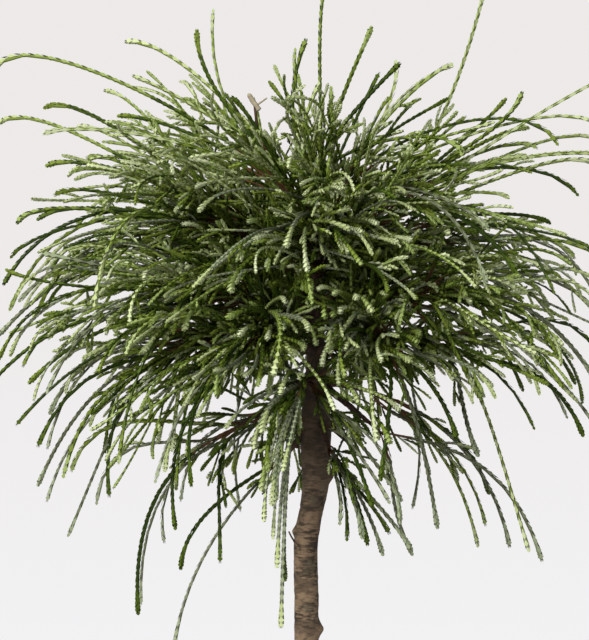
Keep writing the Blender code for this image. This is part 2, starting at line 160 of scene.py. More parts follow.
class Finish:
    # A node tree, and the one method that adds nodes to it
    def __init__(self, owner):
        owner.use_nodes = True
        self.owner = owner
        self.tree = owner.node_tree

    def node(self, kind, settings=None, sockets=None, out=0):
        made = self.tree.nodes.new(kind)
        for name, value in (settings or {}).items():
            setattr(made, name, value)
        self.feed(made, sockets or {})
        return Wire(self, made.outputs[out])

    def feed(self, node, sockets):
        for name, value in sockets.items():
            if isinstance(value, Wire):
                self.tree.links.new(value.socket, node.inputs[name])
            else:
                node.inputs[name].default_value = value

    def mix(self, factor, low, high):
        return self.node("ShaderNodeMix", {"data_type": "RGBA"}, {0: factor, 6: low, 7: high}, out=2)

    def place(self):
        # Where a point lies in its own object's frame
        return self.node("ShaderNodeTexCoord", out=3)

    def noise(self, squeeze, scale, detail, roughness):
        # Noise that changes squeeze times as fast upwards as across
        place = self.node("ShaderNodeMapping", {}, {"Vector": self.place(), "Scale": (1, 1, squeeze)})
        sockets = {"Vector": place, "Scale": scale, "Detail": detail, "Roughness": roughness}
        return self.node("ShaderNodeTexNoise", {}, sockets)


def surface(name, values):
    # A new material whose Principled shader has these values
    finish = Finish(bpy.data.materials.new(name))
    finish.feed(finish.tree.nodes["Principled BSDF"], values)
    return finish


# Camera, floor and light

view = {
    "metresPerPixel": 0.0008,
    "photoWidth": 589,
    "photoHeight": 640,
    "axisPixel": 307,
    "zeroPixel": 1095,
    "distance": 2.0,
    "height": 0.55,
    "sensor": 36,
}
studio = {
    "skyTop": (0.846, 0.820, 0.812),
    "skyLow": (0.896, 0.888, 0.905),
    "skyLevels": (-0.14, 0.10),
    "skyLight": 0.70,
    "floorColour": (0.62, 0.61, 0.60),
    "floorRadius": 3.2,
    "floorSides": 96,
    "floorDrop": 0.0005,
    "floorRoughness": 0.95,
    "floorFade": (0.9, 2.6),
    "key": {"place": (-1.25, -1.95, 1.75), "size": 0.9, "watts": 150, "colour": (1.0, 0.98, 0.94)},
    "fill": {"place": (1.9, -1.6, 1.4), "size": 2.0, "watts": 24, "colour": (0.93, 0.96, 1.0)},
}


def cameraGaze():
    # Where the camera stands, and from there to the middle of the photo at the trunk
    scale = view["metresPerPixel"]
    middleX = (view["photoWidth"] / 2 - view["axisPixel"]) * scale
    middleZ = (view["zeroPixel"] - view["photoHeight"] / 2) * scale
    stand = Vector((middleX, -view["distance"], view["height"]))
    return stand, Vector((middleX, 0, middleZ)) - stand


def placesOf(pixels, depths):
    # The points at these depths that the photo shows at these pixels: each ray runs the gaze's own
    # length forward and the pixel's distance from the middle aside, and is stretched to its depth
    stand, gaze = (np.array(vector) for vector in cameraGaze())
    aside = (pixels - (view["photoWidth"] / 2, view["photoHeight"] / 2)) * (1, -1) * view["metresPerPixel"]
    upward = unit(np.cross((1, 0, 0), gaze))
    rays = gaze + aside[:, :1] * (1, 0, 0) + aside[:, 1:] * upward
    return stand + rays * ((depths - stand[1]) / rays[:, 1])[:, None]


def makeCamera():
    # The lens is set so that the photo's height spans its own real height at the trunk
    camera = addObject("camera", bpy.data.cameras.new("camera"))
    camera.location, gaze = cameraGaze()
    camera.rotation_euler = gaze.to_track_quat("-Z", "Y").to_euler()
    camera.data.sensor_width = view["sensor"]
    camera.data.lens = view["sensor"] * gaze.length / (view["photoHeight"] * view["metresPerPixel"])
    bpy.context.scene.camera = camera


def makeSky():
    # One pale colour all round, a little bluer towards the floor, that lights less than the camera sees
    world = bpy.data.worlds.new("sky")
    bpy.context.scene.world = world
    sky = Finish(world)
    way = sky.node("ShaderNodeTexCoord", out=0)
    height = sky.node("ShaderNodeSeparateXYZ", {}, {"Vector": way}, out=2)
    low, high = studio["skyLevels"]
    colour = sky.mix(height.clamped(low, high), (*studio["skyLow"], 1), (*studio["skyTop"], 1))
    seen = sky.node("ShaderNodeLightPath", out=0)
    strength = 1 - (1 - seen) * (1 - studio["skyLight"])
    sky.feed(sky.tree.nodes["Background"], {"Color": colour, "Strength": strength})


def makeFloor():
    # A pale disc that fades out before the camera's view reaches it
    mesh = bpy.data.meshes.new("floor")
    turns = np.linspace(0, 2 * math.pi, studio["floorSides"], endpoint=False)
    rim = np.stack([np.cos(turns), np.sin(turns), 0 * turns], -1) * studio["floorRadius"]
    mesh.from_pydata(rim.tolist(), [], [list(range(len(rim)))])
    floor = addObject("floor", mesh)
    floor.location = (0, 0, -studio["floorDrop"])
    values = {"Base Color": (*studio["floorColour"], 1), "Roughness": studio["floorRoughness"]}
    finish = surface("floorFinish", values)
    away = finish.node("ShaderNodeVectorMath", {"operation": "LENGTH"}, {0: finish.place()}, out=1)
    clear = finish.node("ShaderNodeBsdfTransparent")
    solid = Wire(finish, finish.tree.nodes["Principled BSDF"].outputs[0])
    sockets = {0: away.clamped(*studio["floorFade"]), 1: solid, 2: clear}
    mixed = finish.node("ShaderNodeMixShader", {}, sockets)
    finish.feed(finish.tree.nodes["Material Output"], {"Surface": mixed})
    mesh.materials.append(finish.owner)


def makeLamp(name, values):
    lamp = bpy.data.lights.new(name, "AREA")
    lamp.size = values["size"]
    lamp.energy = values["watts"]
    lamp.color = values["colour"]
    holder = addObject(name, lamp)
    holder.location = values["place"]
    aim = Vector((0, 0, crown["height"])) - holder.location
    holder.rotation_euler = aim.to_track_quat("-Z", "Y").to_euler()


# The stem: the same lean, taper, flare and knots as the solid, with relief in its bark

stem = {
    "graftHeight": 0.50,
    "top": 0.690,
    "footRadius": 0.0105,
    "waistRadius": 0.0088,
    "tipRadius": 0.0022,
    "leaderTaper": 1.5,
    "graftSwell": 0.0034,
    "swellHeight": 0.528,
    "swellSpan": 0.042,
    "rootFlare": 0.0080,
    "flareHeight": 0.020,
    "rootLobes": 5,
    "lobeDepth": 0.20,
    "lobeTurn": 0.6,
    "kinkHeight": 0.465,
    "kinkSpan": 0.060,
    "kinkShift": 0.0085,
    "sway": (0.0016, 0.0012),
    "swayTurn": (9.0, 7.0),
    "swayStart": 0.1,
    # Knots: height, azimuth in degrees, how far each stands out, its spread
    "knots": (
        (0.374, -12, 0.0042, 0.0080),
        (0.452, 186, 0.0026, 0.0060),
        (0.496, -4, 0.0034, 0.0075),
        (0.236, 118, 0.0028, 0.0070),
        (0.118, 250, 0.0026, 0.0080),
    ),
    "knotFall": 2.2,
    "tipPoint": 0.0006,
    "around": 96,
    "upward": 900,
}
bark = {
    "thickness": 0.0005,
    "fullAbove": 0.004,
    # Wrinkles and plates: cells round the stem and cells per metre up it, and for wrinkles their share
    "wrinkles": ((12, 260, 1.0), (20, 420, 0.6)),
    "wrinkleDepth": 0.00016,
    "plates": (7, 60),
    "plateDepth": 0.00036,
    # Rings of cracks: half of each one's arc in radians, how softly it ends, and how it waves
    "rings": 110,
    "ringDepth": 0.00045,
    "ringWidth": 0.0009,
    "ringHalf": (0.5, 1.6),
    "ringFade": 0.4,
    "ringWave": 0.0012,
    "lowestRing": 0.01,
    # The lip of a scar: its height and how far out it lies, as shares of depth and spread, and both falls
    "scarLip": (0.5, 1.1),
    "scarFalls": (6, 3),
    # Scars: height, azimuth in degrees, how deep each is, its spread
    "scars": (
        (0.404, -118, 0.0016, 0.0042),
        (0.462, -70, 0.0010, 0.0035),
        (0.330, -60, 0.0012, 0.0040),
        (0.205, 20, 0.0012, 0.0040),
        (0.150, -140, 0.0010, 0.0040),
    ),
}


def stemCentre(height):
    # A kink at the graft, and a slow sway both ways that settles to nothing at the ground
    kink = stem["kinkShift"] * smoothStep((height - stem["kinkHeight"]) / stem["kinkSpan"] + 0.5)
    settle = smoothStep(height / stem["swayStart"])
    sways = zip(stem["sway"], stem["swayTurn"])
    east, north = (reach * np.sin(height * turn) * settle for reach, turn in sways)
    return np.stack([kink + east, north, height], -1)


def stemRadius(height):
    # One taper up to the graft and another above it, with the graft's swelling and the root flare
    graft, waist = stem["graftHeight"], stem["waistRadius"]
    below = stem["footRadius"] + (waist - stem["footRadius"]) * height / graft
    share = np.maximum(0, height - graft) / (stem["top"] - graft)
    above = waist + (stem["tipRadius"] - waist) * share ** stem["leaderTaper"]
    swell = stem["graftSwell"] * np.exp(-(((height - stem["swellHeight"]) / stem["swellSpan"]) ** 2))
    flare = stem["rootFlare"] * np.exp(-height / stem["flareHeight"])
    return np.where(height < graft, below, above) + swell + flare


def stemSkin(height, azimuth):
    # Radius with root lobes, and a bell for each knot, by height and azimuth
    radius = stemRadius(height)
    lobes = np.exp(-height / stem["flareHeight"]) * np.cos(stem["rootLobes"] * azimuth + stem["lobeTurn"])
    radius = radius * (1 + stem["lobeDepth"] * lobes)
    for knotHeight, knotAzimuth, standsOut, spread in stem["knots"]:
        turn = wrapTurn(azimuth - math.radians(knotAzimuth))
        away = np.hypot(height - knotHeight, turn * radius) / spread
        radius = radius + standsOut * np.exp(-stem["knotFall"] * away * away)
    return radius


def barkRelief(height, azimuth):
    # Fine wrinkles across, broader plates, rings of cracks part of the way round, and healed scars
    turn = azimuth / (2 * math.pi)
    wrinkle = sum(
        share * valueNoise(turn * around, height * upward, around, seed)
        for seed, (around, upward, share) in enumerate(bark["wrinkles"], 1)
    )
    around, upward = bark["plates"]
    plate = valueNoise(turn * around, height * upward, around, 3)
    relief = bark["thickness"] + bark["wrinkleDepth"] * wrinkle + bark["plateDepth"] * plate
    dice = np.random.default_rng(4)
    for _ in range(bark["rings"]):
        ringHeight = dice.uniform(bark["lowestRing"], stem["top"])
        middle, half = dice.uniform(-math.pi, math.pi), dice.uniform(*bark["ringHalf"])
        wave = bark["ringWave"] * np.sin(azimuth * 2 + middle)
        groove = np.exp(-(((height - ringHeight - wave) / bark["ringWidth"]) ** 2))
        arc = smoothStep((half - np.abs(wrapTurn(azimuth - middle))) / bark["ringFade"])
        relief = relief - bark["ringDepth"] * groove * arc
    (lipHeight, lipPlace), (lipFall, fall) = bark["scarLip"], bark["scarFalls"]
    for scarHeight, scarAzimuth, deep, spread in bark["scars"]:
        aside = wrapTurn(azimuth - math.radians(scarAzimuth)) * stemRadius(height)
        away = np.hypot(height - scarHeight, aside) / spread
        lip = lipHeight * np.exp(-((away - lipPlace) ** 2) * lipFall)
        relief = relief + deep * (lip - np.exp(-fall * away * away))
    return relief


def clearOfStem(places, room):
    # True where a ball of this radius doesn't touch the stem
    height = places[..., 2]
    beside = stemCentre(height)
    away = np.hypot(places[..., 0] - beside[..., 0], places[..., 1] - beside[..., 1])
    return (height > stem["top"] + room) | (away > stemRadius(np.minimum(height, stem["top"])) + room)


def makeStem(finish):
    # Rows of points by height and azimuth, and the middles of the flat cut and of the tip
    heights = np.linspace(0, stem["top"], stem["upward"])[:, None]
    azimuths = np.linspace(0, 2 * math.pi, stem["around"], endpoint=False)[None]
    relief = barkRelief(heights, azimuths) * smoothStep(heights / bark["fullAbove"])
    radius = stemSkin(heights, azimuths) + relief
    around = np.stack([np.cos(azimuths), np.sin(azimuths), 0 * azimuths], -1)
    skin = stemCentre(heights[:, 0])[:, None] + radius[..., None] * around
    ends = stemCentre(np.array([0, stem["top"]]))
    ends[1, 2] += stem["tipPoint"]
    points = np.concatenate([skin.reshape(-1, 3), ends])
    triangles = tubeTriangles(stem["upward"], stem["around"])
    dress(makePiece("stemBark", points, triangles, [finish]), ["trunk"])


# Small limbs: their bark's unevenness in cells per metre, and how far their ends' points stand out as
# shares of the radius there
limbBark = {"upward": 400, "endPoints": (0.3, 0.6)}


def tube(controls, shares, radii, habit, seed):
    # A closed tube along a curve: a ring at each share of its way, with uneven bark, and a point at each end
    line, along = curve(controls, shares), heading(controls, shares)
    across = np.cross(along[0], (0, 0, 1) if abs(along[0][2]) < 0.9 else (1, 0, 0))
    side = unit(across - along * (along @ across)[:, None])
    up = np.cross(along, side)
    turns = np.linspace(0, 2 * math.pi, habit["sides"], endpoint=False)[None, :, None]
    length = np.linalg.norm(np.diff(line, axis=0), axis=1).sum()
    turn, way = np.meshgrid(np.arange(habit["sides"]), shares * length * limbBark["upward"])
    uneven = 1 + habit["relief"] * valueNoise(turn, way, habit["sides"], seed)
    around = np.cos(turns) * side[:, None] + np.sin(turns) * up[:, None]
    skin = line[:, None] + (radii[:, None] * uneven)[..., None] * around
    low, high = limbBark["endPoints"]
    points = [line[0] - along[0] * radii[0] * low, line[-1] + along[-1] * radii[-1] * high]
    points = np.concatenate([skin.reshape(-1, 3), points])
    return points, tubeTriangles(len(shares), habit["sides"])


def joinParts(parts):
    # Several (points, triangles) as one
    starts = np.cumsum([0] + [len(points) for points, _ in parts[:-1]])
    triangles = [faces + start for (_, faces), start in zip(parts, starts)]
    return np.concatenate([points for points, _ in parts]), np.concatenate(triangles)


# The crown's spaces, as in the solids: planes through the stem, and floors that curve down

crown = {
    "height": 0.62,
    "radius": 0.256,
    "droop": 2.7,
    "topmostSlope": 40.0,
    "waves": 3,
    "waveLevels": 0.45,
    "waveReach": 0.05,
    "margin": 0.0006,
    "footReach": 0.001,
    "boughReach": 0.032,
    "stemReach": 0.108,
    "crestStem": (0.004, 0.002, 0.035),
    "leftFar": 0.04,
    "halvings": 24,
    "limbSamples": 101,
    "seed": 149,
    "tierSeeds": 10,
}
# Each tier of masses round the stem: azimuth of the first, how far out its cords' tips lie as shares of
# the crown's radius, its floor's height at the stem and angle at the rim, cords in a mass, shoots on a
# cord, short shoots on its limb, how much thinner the right of the photo is than the rest and by how
# many levels higher, how much fuller the back is than the front, and the degrees by which its cords turn
# down at their tips
tiers = (
    {"name": "skirt", "masses": 4, "turn": 20, "near": 0.30, "far": 0.55, "floor": 0.535, "rim": -78,
     "cords": 2, "shoots": 2, "inner": 3, "rightLess": 0.5, "rightHigher": 0.4, "backMore": 0.5,
     "bend": (-15, 40)},
    {"name": "lower", "masses": 5, "turn": 48, "near": 0.36, "far": 0.66, "floor": 0.560, "rim": -52,
     "cords": 5, "shoots": 2, "inner": 2, "rightLess": 1.0, "rightHigher": 0.4, "backMore": 0.4,
     "bend": (-15, 40)},
    {"name": "middle", "masses": 6, "turn": 0, "near": 0.46, "far": 0.84, "floor": 0.582, "rim": -30,
     "cords": 21, "shoots": 4, "inner": 14, "rightLess": 0.8, "rightHigher": 0.6, "backMore": 0.2,
     "bend": (-15, 52)},
    {"name": "upper", "masses": 6, "turn": 30, "near": 0.54, "far": 0.95, "floor": 0.606, "rim": -6,
     "cords": 34, "shoots": 5, "inner": 16, "rightLess": 0.15, "rightHigher": -0.3, "backMore": 0,
     "bend": (-15, 52)},
    {"name": "high", "masses": 4, "turn": 10, "near": 0.52, "far": 0.94, "floor": 0.632, "rim": 20,
     "cords": 52, "shoots": 4, "inner": 14, "rightLess": 0.95, "rightHigher": 0, "backMore": 0,
     "bend": (-20, 36)},
    {"name": "top", "masses": 2, "turn": 50, "near": 0.44, "far": 0.74, "floor": 0.660, "rim": 46,
     "cords": 11, "shoots": 2, "inner": 5, "rightLess": 0, "rightHigher": 0, "backMore": 0,
     "bend": (-25, 22)},
    {"name": "crest", "masses": 1, "turn": 90, "near": 0.40, "far": 0.66, "floor": 0.690, "rim": 70,
     "cords": 3, "shoots": 2, "inner": 2, "rightLess": 0, "rightHigher": 0, "backMore": 0,
     "bend": (-25, 22)},
)


def tierEdges():
    # Each floor's height at the stem and how steeply it leaves it, and last the open top's
    heights = np.array([tier["floor"] for tier in tiers])
    rims = np.radians([tier["rim"] for tier in tiers])
    reach = crown["radius"] * np.cos(rims)
    rise = crown["height"] + crown["radius"] * np.sin(rims) - heights
    slopes = rise / reach + crown["droop"] * reach
    return np.append(heights, stem["top"]), np.append(slopes, crown["topmostSlope"])


edgeHeights, edgeSlopes = tierEdges()


def levelHeight(level, reach, azimuth):
    # Height of the surface at a level, from the slopes of the floors below and above it, less the
    # droop times the distance out squared, in waves round the stem
    last = len(tiers)
    fade = np.clip(np.minimum(level, last - 1 - level), 0, 1) * np.minimum(1, reach / crown["waveReach"])
    lifted = level + crown["waveLevels"] * fade * np.sin(crown["waves"] * azimuth)
    index = np.clip(np.floor(lifted).astype(int), 0, last - 1)
    share = lifted - index
    turns = np.arctan(edgeSlopes)
    turn = turns[index] + (turns[index + 1] - turns[index]) * share
    height = edgeHeights[index] + (edgeHeights[index + 1] - edgeHeights[index]) * share
    return height + reach * np.tan(turn) - crown["droop"] * reach * reach


def polar(out):
    # Distance from the crown's axis, and azimuth round it
    return np.hypot(out[..., 0], out[..., 1]), np.arctan2(out[..., 1], out[..., 0])


def levelSlopes(level, reach, azimuth):
    # How steep that surface is outwards, and round the stem
    step = 1e-4
    here = levelHeight(level, reach, azimuth)
    outward = (levelHeight(level, reach + step, azimuth) - here) / step
    around = (levelHeight(level, reach, azimuth + step / np.maximum(reach, step)) - here) / step
    return outward, around


class Mass:
    # One mass of cords: its space, its limb and its random draws
    def __init__(self, tierIndex, massIndex):
        tier = tiers[tierIndex]
        name, masses = tier["name"], tier["masses"]
        self.index = tierIndex
        self.masses = masses
        self.halfWidth = math.pi / masses
        self.azimuth = math.radians(tier["turn"]) + 2 * self.halfWidth * massIndex
        self.near, self.bend = tier["near"], tier["bend"]
        self.far = tier["far"] * (1 + crown["leftFar"] * max(0, -math.cos(self.azimuth)))
        self.cords = round(tier["cords"] * (1 + tier["backMore"] * math.sin(self.azimuth)))
        self.rightLess, self.rightHigher = tier["rightLess"], tier["rightHigher"]
        self.shoots, self.inner = tier["shoots"], tier["inner"]
        suffix = f"_{massIndex + 1}" if masses > 1 else ""
        self.node = f"{name}_foliage{suffix}"
        self.boughNode = f"{name}_bough{suffix}" if name != "crest" else None
        self.dice = np.random.default_rng(crown["seed"] + crown["tierSeeds"] * tierIndex + massIndex)
        self.middle = stemCentre(np.array(crown["height"]))
        self.setLimb()

    def at(self, turn, level, reach):
        # A point by azimuth from the space's middle, level in its tier and distance out
        azimuth = self.azimuth + turn
        height = levelHeight(self.index + level, reach, azimuth)
        east, north = reach * np.cos(azimuth), reach * np.sin(azimuth)
        return np.stack([self.middle[0] + east, self.middle[1] + north, height], -1)

    def atDistance(self, turn, level, distance):
        # The point on such a line that lies a distance from the crown's middle, by halving
        low, high = np.zeros_like(distance), distance.copy()
        for _ in range(crown["halvings"]):
            reach = (low + high) / 2
            inside = np.linalg.norm(self.at(turn, level, reach) - self.middle, axis=-1) < distance
            low, high = np.where(inside, reach, low), np.where(inside, high, reach)
        return self.at(turn, level, low)

    def setLimb(self):
        # The limb's three controls, and where its bough ends and the mass's own stem begins
        if self.boughNode is None:
            foot = stemCentre(np.array(stem["top"]))
            tip = foot + crown["crestStem"]
            self.limb = np.stack([foot, (foot + tip) / 2, tip])
            self.split = 0.0
            self.stemControls = self.limb
            return
        zero = np.zeros(1)
        foot = stemCentre(self.at(zero, 0.5, zero + crown["footReach"])[:, 2])[0]
        reaches = (crown["stemReach"] / 2, crown["stemReach"])
        bend, tip = (self.atDistance(zero, 0.5, zero + reach)[0] for reach in reaches)
        self.limb = np.stack([foot, bend, tip])
        shares = np.linspace(0, 1, crown["limbSamples"])
        away = np.linalg.norm(curve(self.limb, shares) - foot, axis=1)
        self.split = float(np.interp(crown["boughReach"], away, shares))
        start, centre, end = curve(self.limb, np.array([self.split, (self.split + 1) / 2, 1.0]))
        self.stemControls = np.stack([start, 2 * centre - (start + end) / 2, end])

    def holds(self, places, radii):
        # True where a ball of this radius keeps clear of the stem, the neighbours and the floors
        room = radii + crown["margin"]
        good = clearOfStem(places, room)
        reach, azimuth = polar(places - self.middle)
        if self.masses > 1:
            spare = self.halfWidth - np.abs(wrapTurn(azimuth - self.azimuth))
            good &= (spare > 0) & (reach * np.sin(np.clip(spare, 0, math.pi / 2)) > room)
        for index, side in ((self.index, 1), (self.index + 1, -1)):
            if index < len(tiers):
                level = np.full_like(reach, index)
                above = side * (places[..., 2] - levelHeight(level, reach, azimuth))
                outward, around = levelSlopes(level, reach, azimuth)
                good &= above > room * np.sqrt(1 + outward**2 + around**2)
        return good


# The rule by which cords grow: long ones first, then cords spread by golden steps, then side shoots

cord = {
    # Thickness: at the root, where it is full, how it swells to its tip and how bluntly it ends there
    "radius": (0.00088, 0.00130),
    "rootRadius": 0.0007,
    "fullBy": 0.30,
    "tipSwell": 0.46,
    "frontSwell": 0.70,
    "tipLength": 0.017,
    "swellFrom": 1.2,
    "blunt": 0.62,
    "bluntLength": 0.0042,
    "longStouter": 1.26,
    "frontStouter": 1.32,
    # Whorls: their steps, which shorten to the tip, where the last and first may lie, at how many points a
    # cord's length is measured, and the trace of chance in its plane
    "pitch": (0.0025, 0.0034),
    "longPitch": 0.0054,
    "tipPitch": 0.55,
    "closeWhorls": 6,
    "closeLength": 0.018,
    "mostWhorls": 120,
    "ends": (0.0012, 0.002),
    "measured": 33,
    "planeTrace": 1e-5,
    # Bends: how far the ways at root and tip lead on, and how both stray
    "leads": (0.34, 0.36),
    "tipPull": 1.2,
    "stray": 0.56,
    "scatter": 0.34,
    # Where tips and roots lie in the space, and how far a cord may leave it
    "goldenSteps": (0.618034, 0.754878),
    "looseness": 0.25,
    "attempts": 8,
    "tipWidth": 1.10,
    "tipLevels": 0.56,
    "beyond": 0.03,
    "below": 0.012,
    "samples": 14,
    "clear": (0.0018, 0.12),
    "lastRoot": 0.95,
    "rootSpan": 0.86,
    "rootScatter": (0.7, 1.0),
    "shortRoot": 0.5,
    "shortEvery": 4,
    "shortReach": (0.26, 0.52),
    # Long cords: those above a height hook over, and hanging ones lead straight down
    "longRoots": (0.45, 0.95),
    "hangLift": 0.09,
    "longBend": 10,
    "longScatter": 0.20,
    "longStray": 0.12,
    "hookAbove": 0.66,
    "hookLead": -0.55,
    "arch": 0.5,
    "frontDeeper": 0.025,
    "hangLead": 0.7,
    # Tone: painted shade on the outline's cords, painted light on those in front, little of either where
    # they hang low
    "outlinePaintedShade": -0.30,
    "frontPaintedLight": 0.15,
    "hangingBelow": 0.50,
    "hangingPaintedTone": (-0.01, 0.05),
}
# Side shoots off cords, off long cords, off those shoots, and off the limb itself, which hide the wood
# near the stem; and what all of them share
shoot = {"shares": (0.10, 0.80), "length": (0.016, 0.070), "lean": (0.95, 0.50), "sag": 0.3}
longShoot = {"shares": (0.10, 0.60), "length": (0.015, 0.050), "lean": (0.6, 0.3), "sag": 0.4}
twig = {"shares": (0.15, 0.70), "length": (0.010, 0.028), "lean": (1.0, 0.5), "sag": 0.3}
inner = {"shares": (0.10, 0.75), "length": (0.022, 0.060), "lean": (1.5, 1.0), "sag": 0.2}
everyShoot = {
    "perLongCord": 2,
    "perShoot": 1,
    "leanSpread": (0.6, 1.1),
    "rootLength": 1.15,
    "clear": (0.0016, 0.3),
    "thinner": 0.88,
}
# Long cords that stand clear of the rest, by where each ends, and how far it hangs from 0 to 1
longCords = np.array((
    (0.017, 0.000, 0.896, 0.0),
    (0.052, 0.030, 0.858, 0.0),
    (-0.1455, 0.030, 0.848, 0.35),
    (-0.245, -0.030, 0.818, 0.62),
    (0.113, -0.020, 0.822, 0.2),
    (-0.252, 0.050, 0.784, 0.3),
    (0.252, -0.050, 0.740, 0.3),
    (0.262, 0.010, 0.640, 0.4),
    (-0.252, -0.060, 0.560, 0.4),
    (0.226, -0.060, 0.532, 0.5),
    (-0.210, 0.030, 0.476, 0.6),
    (-0.186, -0.040, 0.452, 0.7),
    (0.082, -0.020, 0.436, 0.9),
    (0.138, 0.030, 0.440, 0.5),
))
# More cords of the outline: where the photograph shows each tip, across and down in pixels, its depth
# in metres and how far it hangs
outlineCords = np.array((
    (47, 107, 0.04, 0.1), (46, 133, -0.05, 0.35), (81, 126, 0.05, 0.0), (107, 91, 0.06, 0.0),
    (121, 116, -0.02, 0.4), (136, 77, -0.04, 0.1), (182, 82, 0.05, 0.1), (195, 85, -0.05, 0.0),
    (183, 101, 0.08, 0.3), (106, 142, -0.06, 0.2), (49, 165, 0.03, 0.1), (75, 171, -0.07, 0.3),
    (89, 157, 0.05, 0.1), (226, 95, 0.03, 0.0), (234, 99, -0.06, 0.0), (250, 96, 0.04, 0.0),
    (275, 67, 0.07, 0.1), (297, 75, 0.06, 0.0), (331, 90, 0.04, 0.0),
    (398, 65, -0.06, 0.1), (390, 98, 0.0, 0.0), (418, 100, 0.05, 0.3),
    (445, 100, -0.05, 0.1), (464, 118, 0.04, 0.0), (491, 123, -0.06, 0.2),
    (590, 121, -0.05, 0.4), (592, 138, 0.06, 0.2),
    (526, 128, 0.07, 0.0), (535, 147, 0.03, 0.4), (526, 157, -0.05, 0.2), (461, 152, -0.12, 0.8),
    (592, 163, 0.02, 0.2), (507, 197, -0.08, 0.4), (487, 228, -0.14, 0.7),
    (548, 222, 0.06, 0.2), (590, 248, -0.03, 0.4), (573, 256, 0.05, 0.4), (515, 271, -0.12, 0.5),
    (553, 290, -0.10, 0.6), (486, 280, -0.16, 0.8), (594, 292, 0.04, 0.5), (592, 308, -0.04, 0.3),
    (596, 350, 0.05, 0.3), (594, 377, -0.03, 0.5), (19, 221, 0.03, 0.2), (13, 255, -0.04, 0.5),
    (5, 282, 0.03, 0.4), (11, 307, -0.06, 0.7), (1, 333, 0.05, 0.3), (0, 357, -0.03, 0.5),
    (24, 364, 0.05, 0.4), (31, 381, -0.05, 0.4), (48, 390, -0.09, 0.5), (40, 218, 0.06, 0.4),
    (57, 194, -0.07, 0.2), (21, 299, 0.07, 0.2), (40, 307, -0.02, 0.6), (50, 337, 0.09, 0.3),
    (95, 303, -0.16, 0.8), (51, 411, 0.05, 0.4), (18, 423, 0.0, 0.0), (39, 444, -0.06, 0.5),
    (48, 446, 0.06, 0.6), (39, 483, 0.04, 0.5), (64, 474, -0.07, 0.6), (72, 469, 0.09, 0.4),
    (105, 450, 0.10, 0.9), (120, 451, -0.10, 0.9), (97, 501, 0.06, 0.6), (109, 494, -0.02, 1.0),
    (156, 479, -0.12, 0.6), (164, 540, 0.07, 1.0), (175, 526, -0.08, 1.0), (181, 499, 0.12, 1.0),
    (191, 483, -0.13, 1.0), (220, 560, -0.04, 0.9), (240, 509, 0.12, 1.0), (400, 520, -0.12, 0.9),
    (381, 477, -0.16, 0.9), (413, 506, 0.12, 1.0), (437, 525, -0.08, 0.9), (429, 472, 0.14, 0.9),
    (456, 436, -0.10, 0.4), (457, 479, 0.09, 0.5), (485, 523, 0.06, 0.6), (477, 453, -0.05, 0.5),
    (488, 491, 0.08, 0.5), (480, 397, -0.10, 0.5),
    (533, 426, -0.04, 0.4), (522, 388, 0.09, 0.5), (566, 415, 0.05, 0.5), (582, 433, -0.05, 0.5),
    (562, 386, -0.12, 0.5), (574, 381, 0.07, 0.5),
))
# Cords of the outline that don't simply fan out: where the photo shows each to pass, across and down in
# pixels, where it shows the tip, the tip's depth in metres, and how far along its limb the cord leaves
passingCords = np.array((
    (448, 135, 484, -8, 0.02, 0.9), (528, 90, 556, 142, -0.05, 0.9), (520, 118, 612, 74, 0.02, 0.95),
    (540, 148, 576, 193, 0.05, 0.9), (503, 140, 521, 95, -0.04, 0.95), (478, 132, 504, 101, 0.05, 0.9),
    (206, 100, 213, 13, 0.015, 0.95), (198, 96, 197, 33, -0.03, 0.9),
    (274, 122, 305, 42, -0.02, 0.5), (289, 100, 295, 52, -0.03, 0.5), (306, 128, 271, 84, 0.04, 0.6),
    (300, 125, 318, 86, -0.04, 0.4), (357, 115, 378, 75, -0.01, 0.5), (395, 82, 450, 67, 0.05, 0.6),
    (400, 110, 396, 64, 0.03, 0.6), (130, 475, 138, 611, 0.02, 0.9), (138, 475, 141, 602, 0.04, 0.8),
    (505, 440, 541, 558, -0.02, 0.9), (497, 445, 528, 548, -0.06, 0.9), (490, 450, 509, 544, 0.03, 0.85),
    (192, 540, 175, 641, -0.015, 0.7), (187, 505, 181, 566, 0.0, 0.7), (345, 485, 340, 521, -0.08, 0.3),
    (349, 490, 347, 537, -0.07, 0.3), (356, 490, 362, 535, -0.09, 0.35), (358, 492, 367, 542, -0.08, 0.35),
    (366, 497, 382, 552, -0.07, 0.35), (380, 500, 410, 547, -0.06, 0.4), (372, 500, 388, 531, -0.05, 0.4),
    (352, 440, 372, 505, -0.10, 0.4), (345, 450, 353, 500, -0.09, 0.4), (362, 450, 388, 500, -0.10, 0.4),
    (370, 450, 400, 498, -0.08, 0.45), (41, 287, 9, 271, -0.05, 0.9), (74, 236, 65, 250, 0.05, 0.8),
    (66, 257, 45, 254, -0.06, 0.9), (56, 262, 42, 282, 0.04, 0.9), (74, 266, 51, 276, -0.03, 0.9),
))
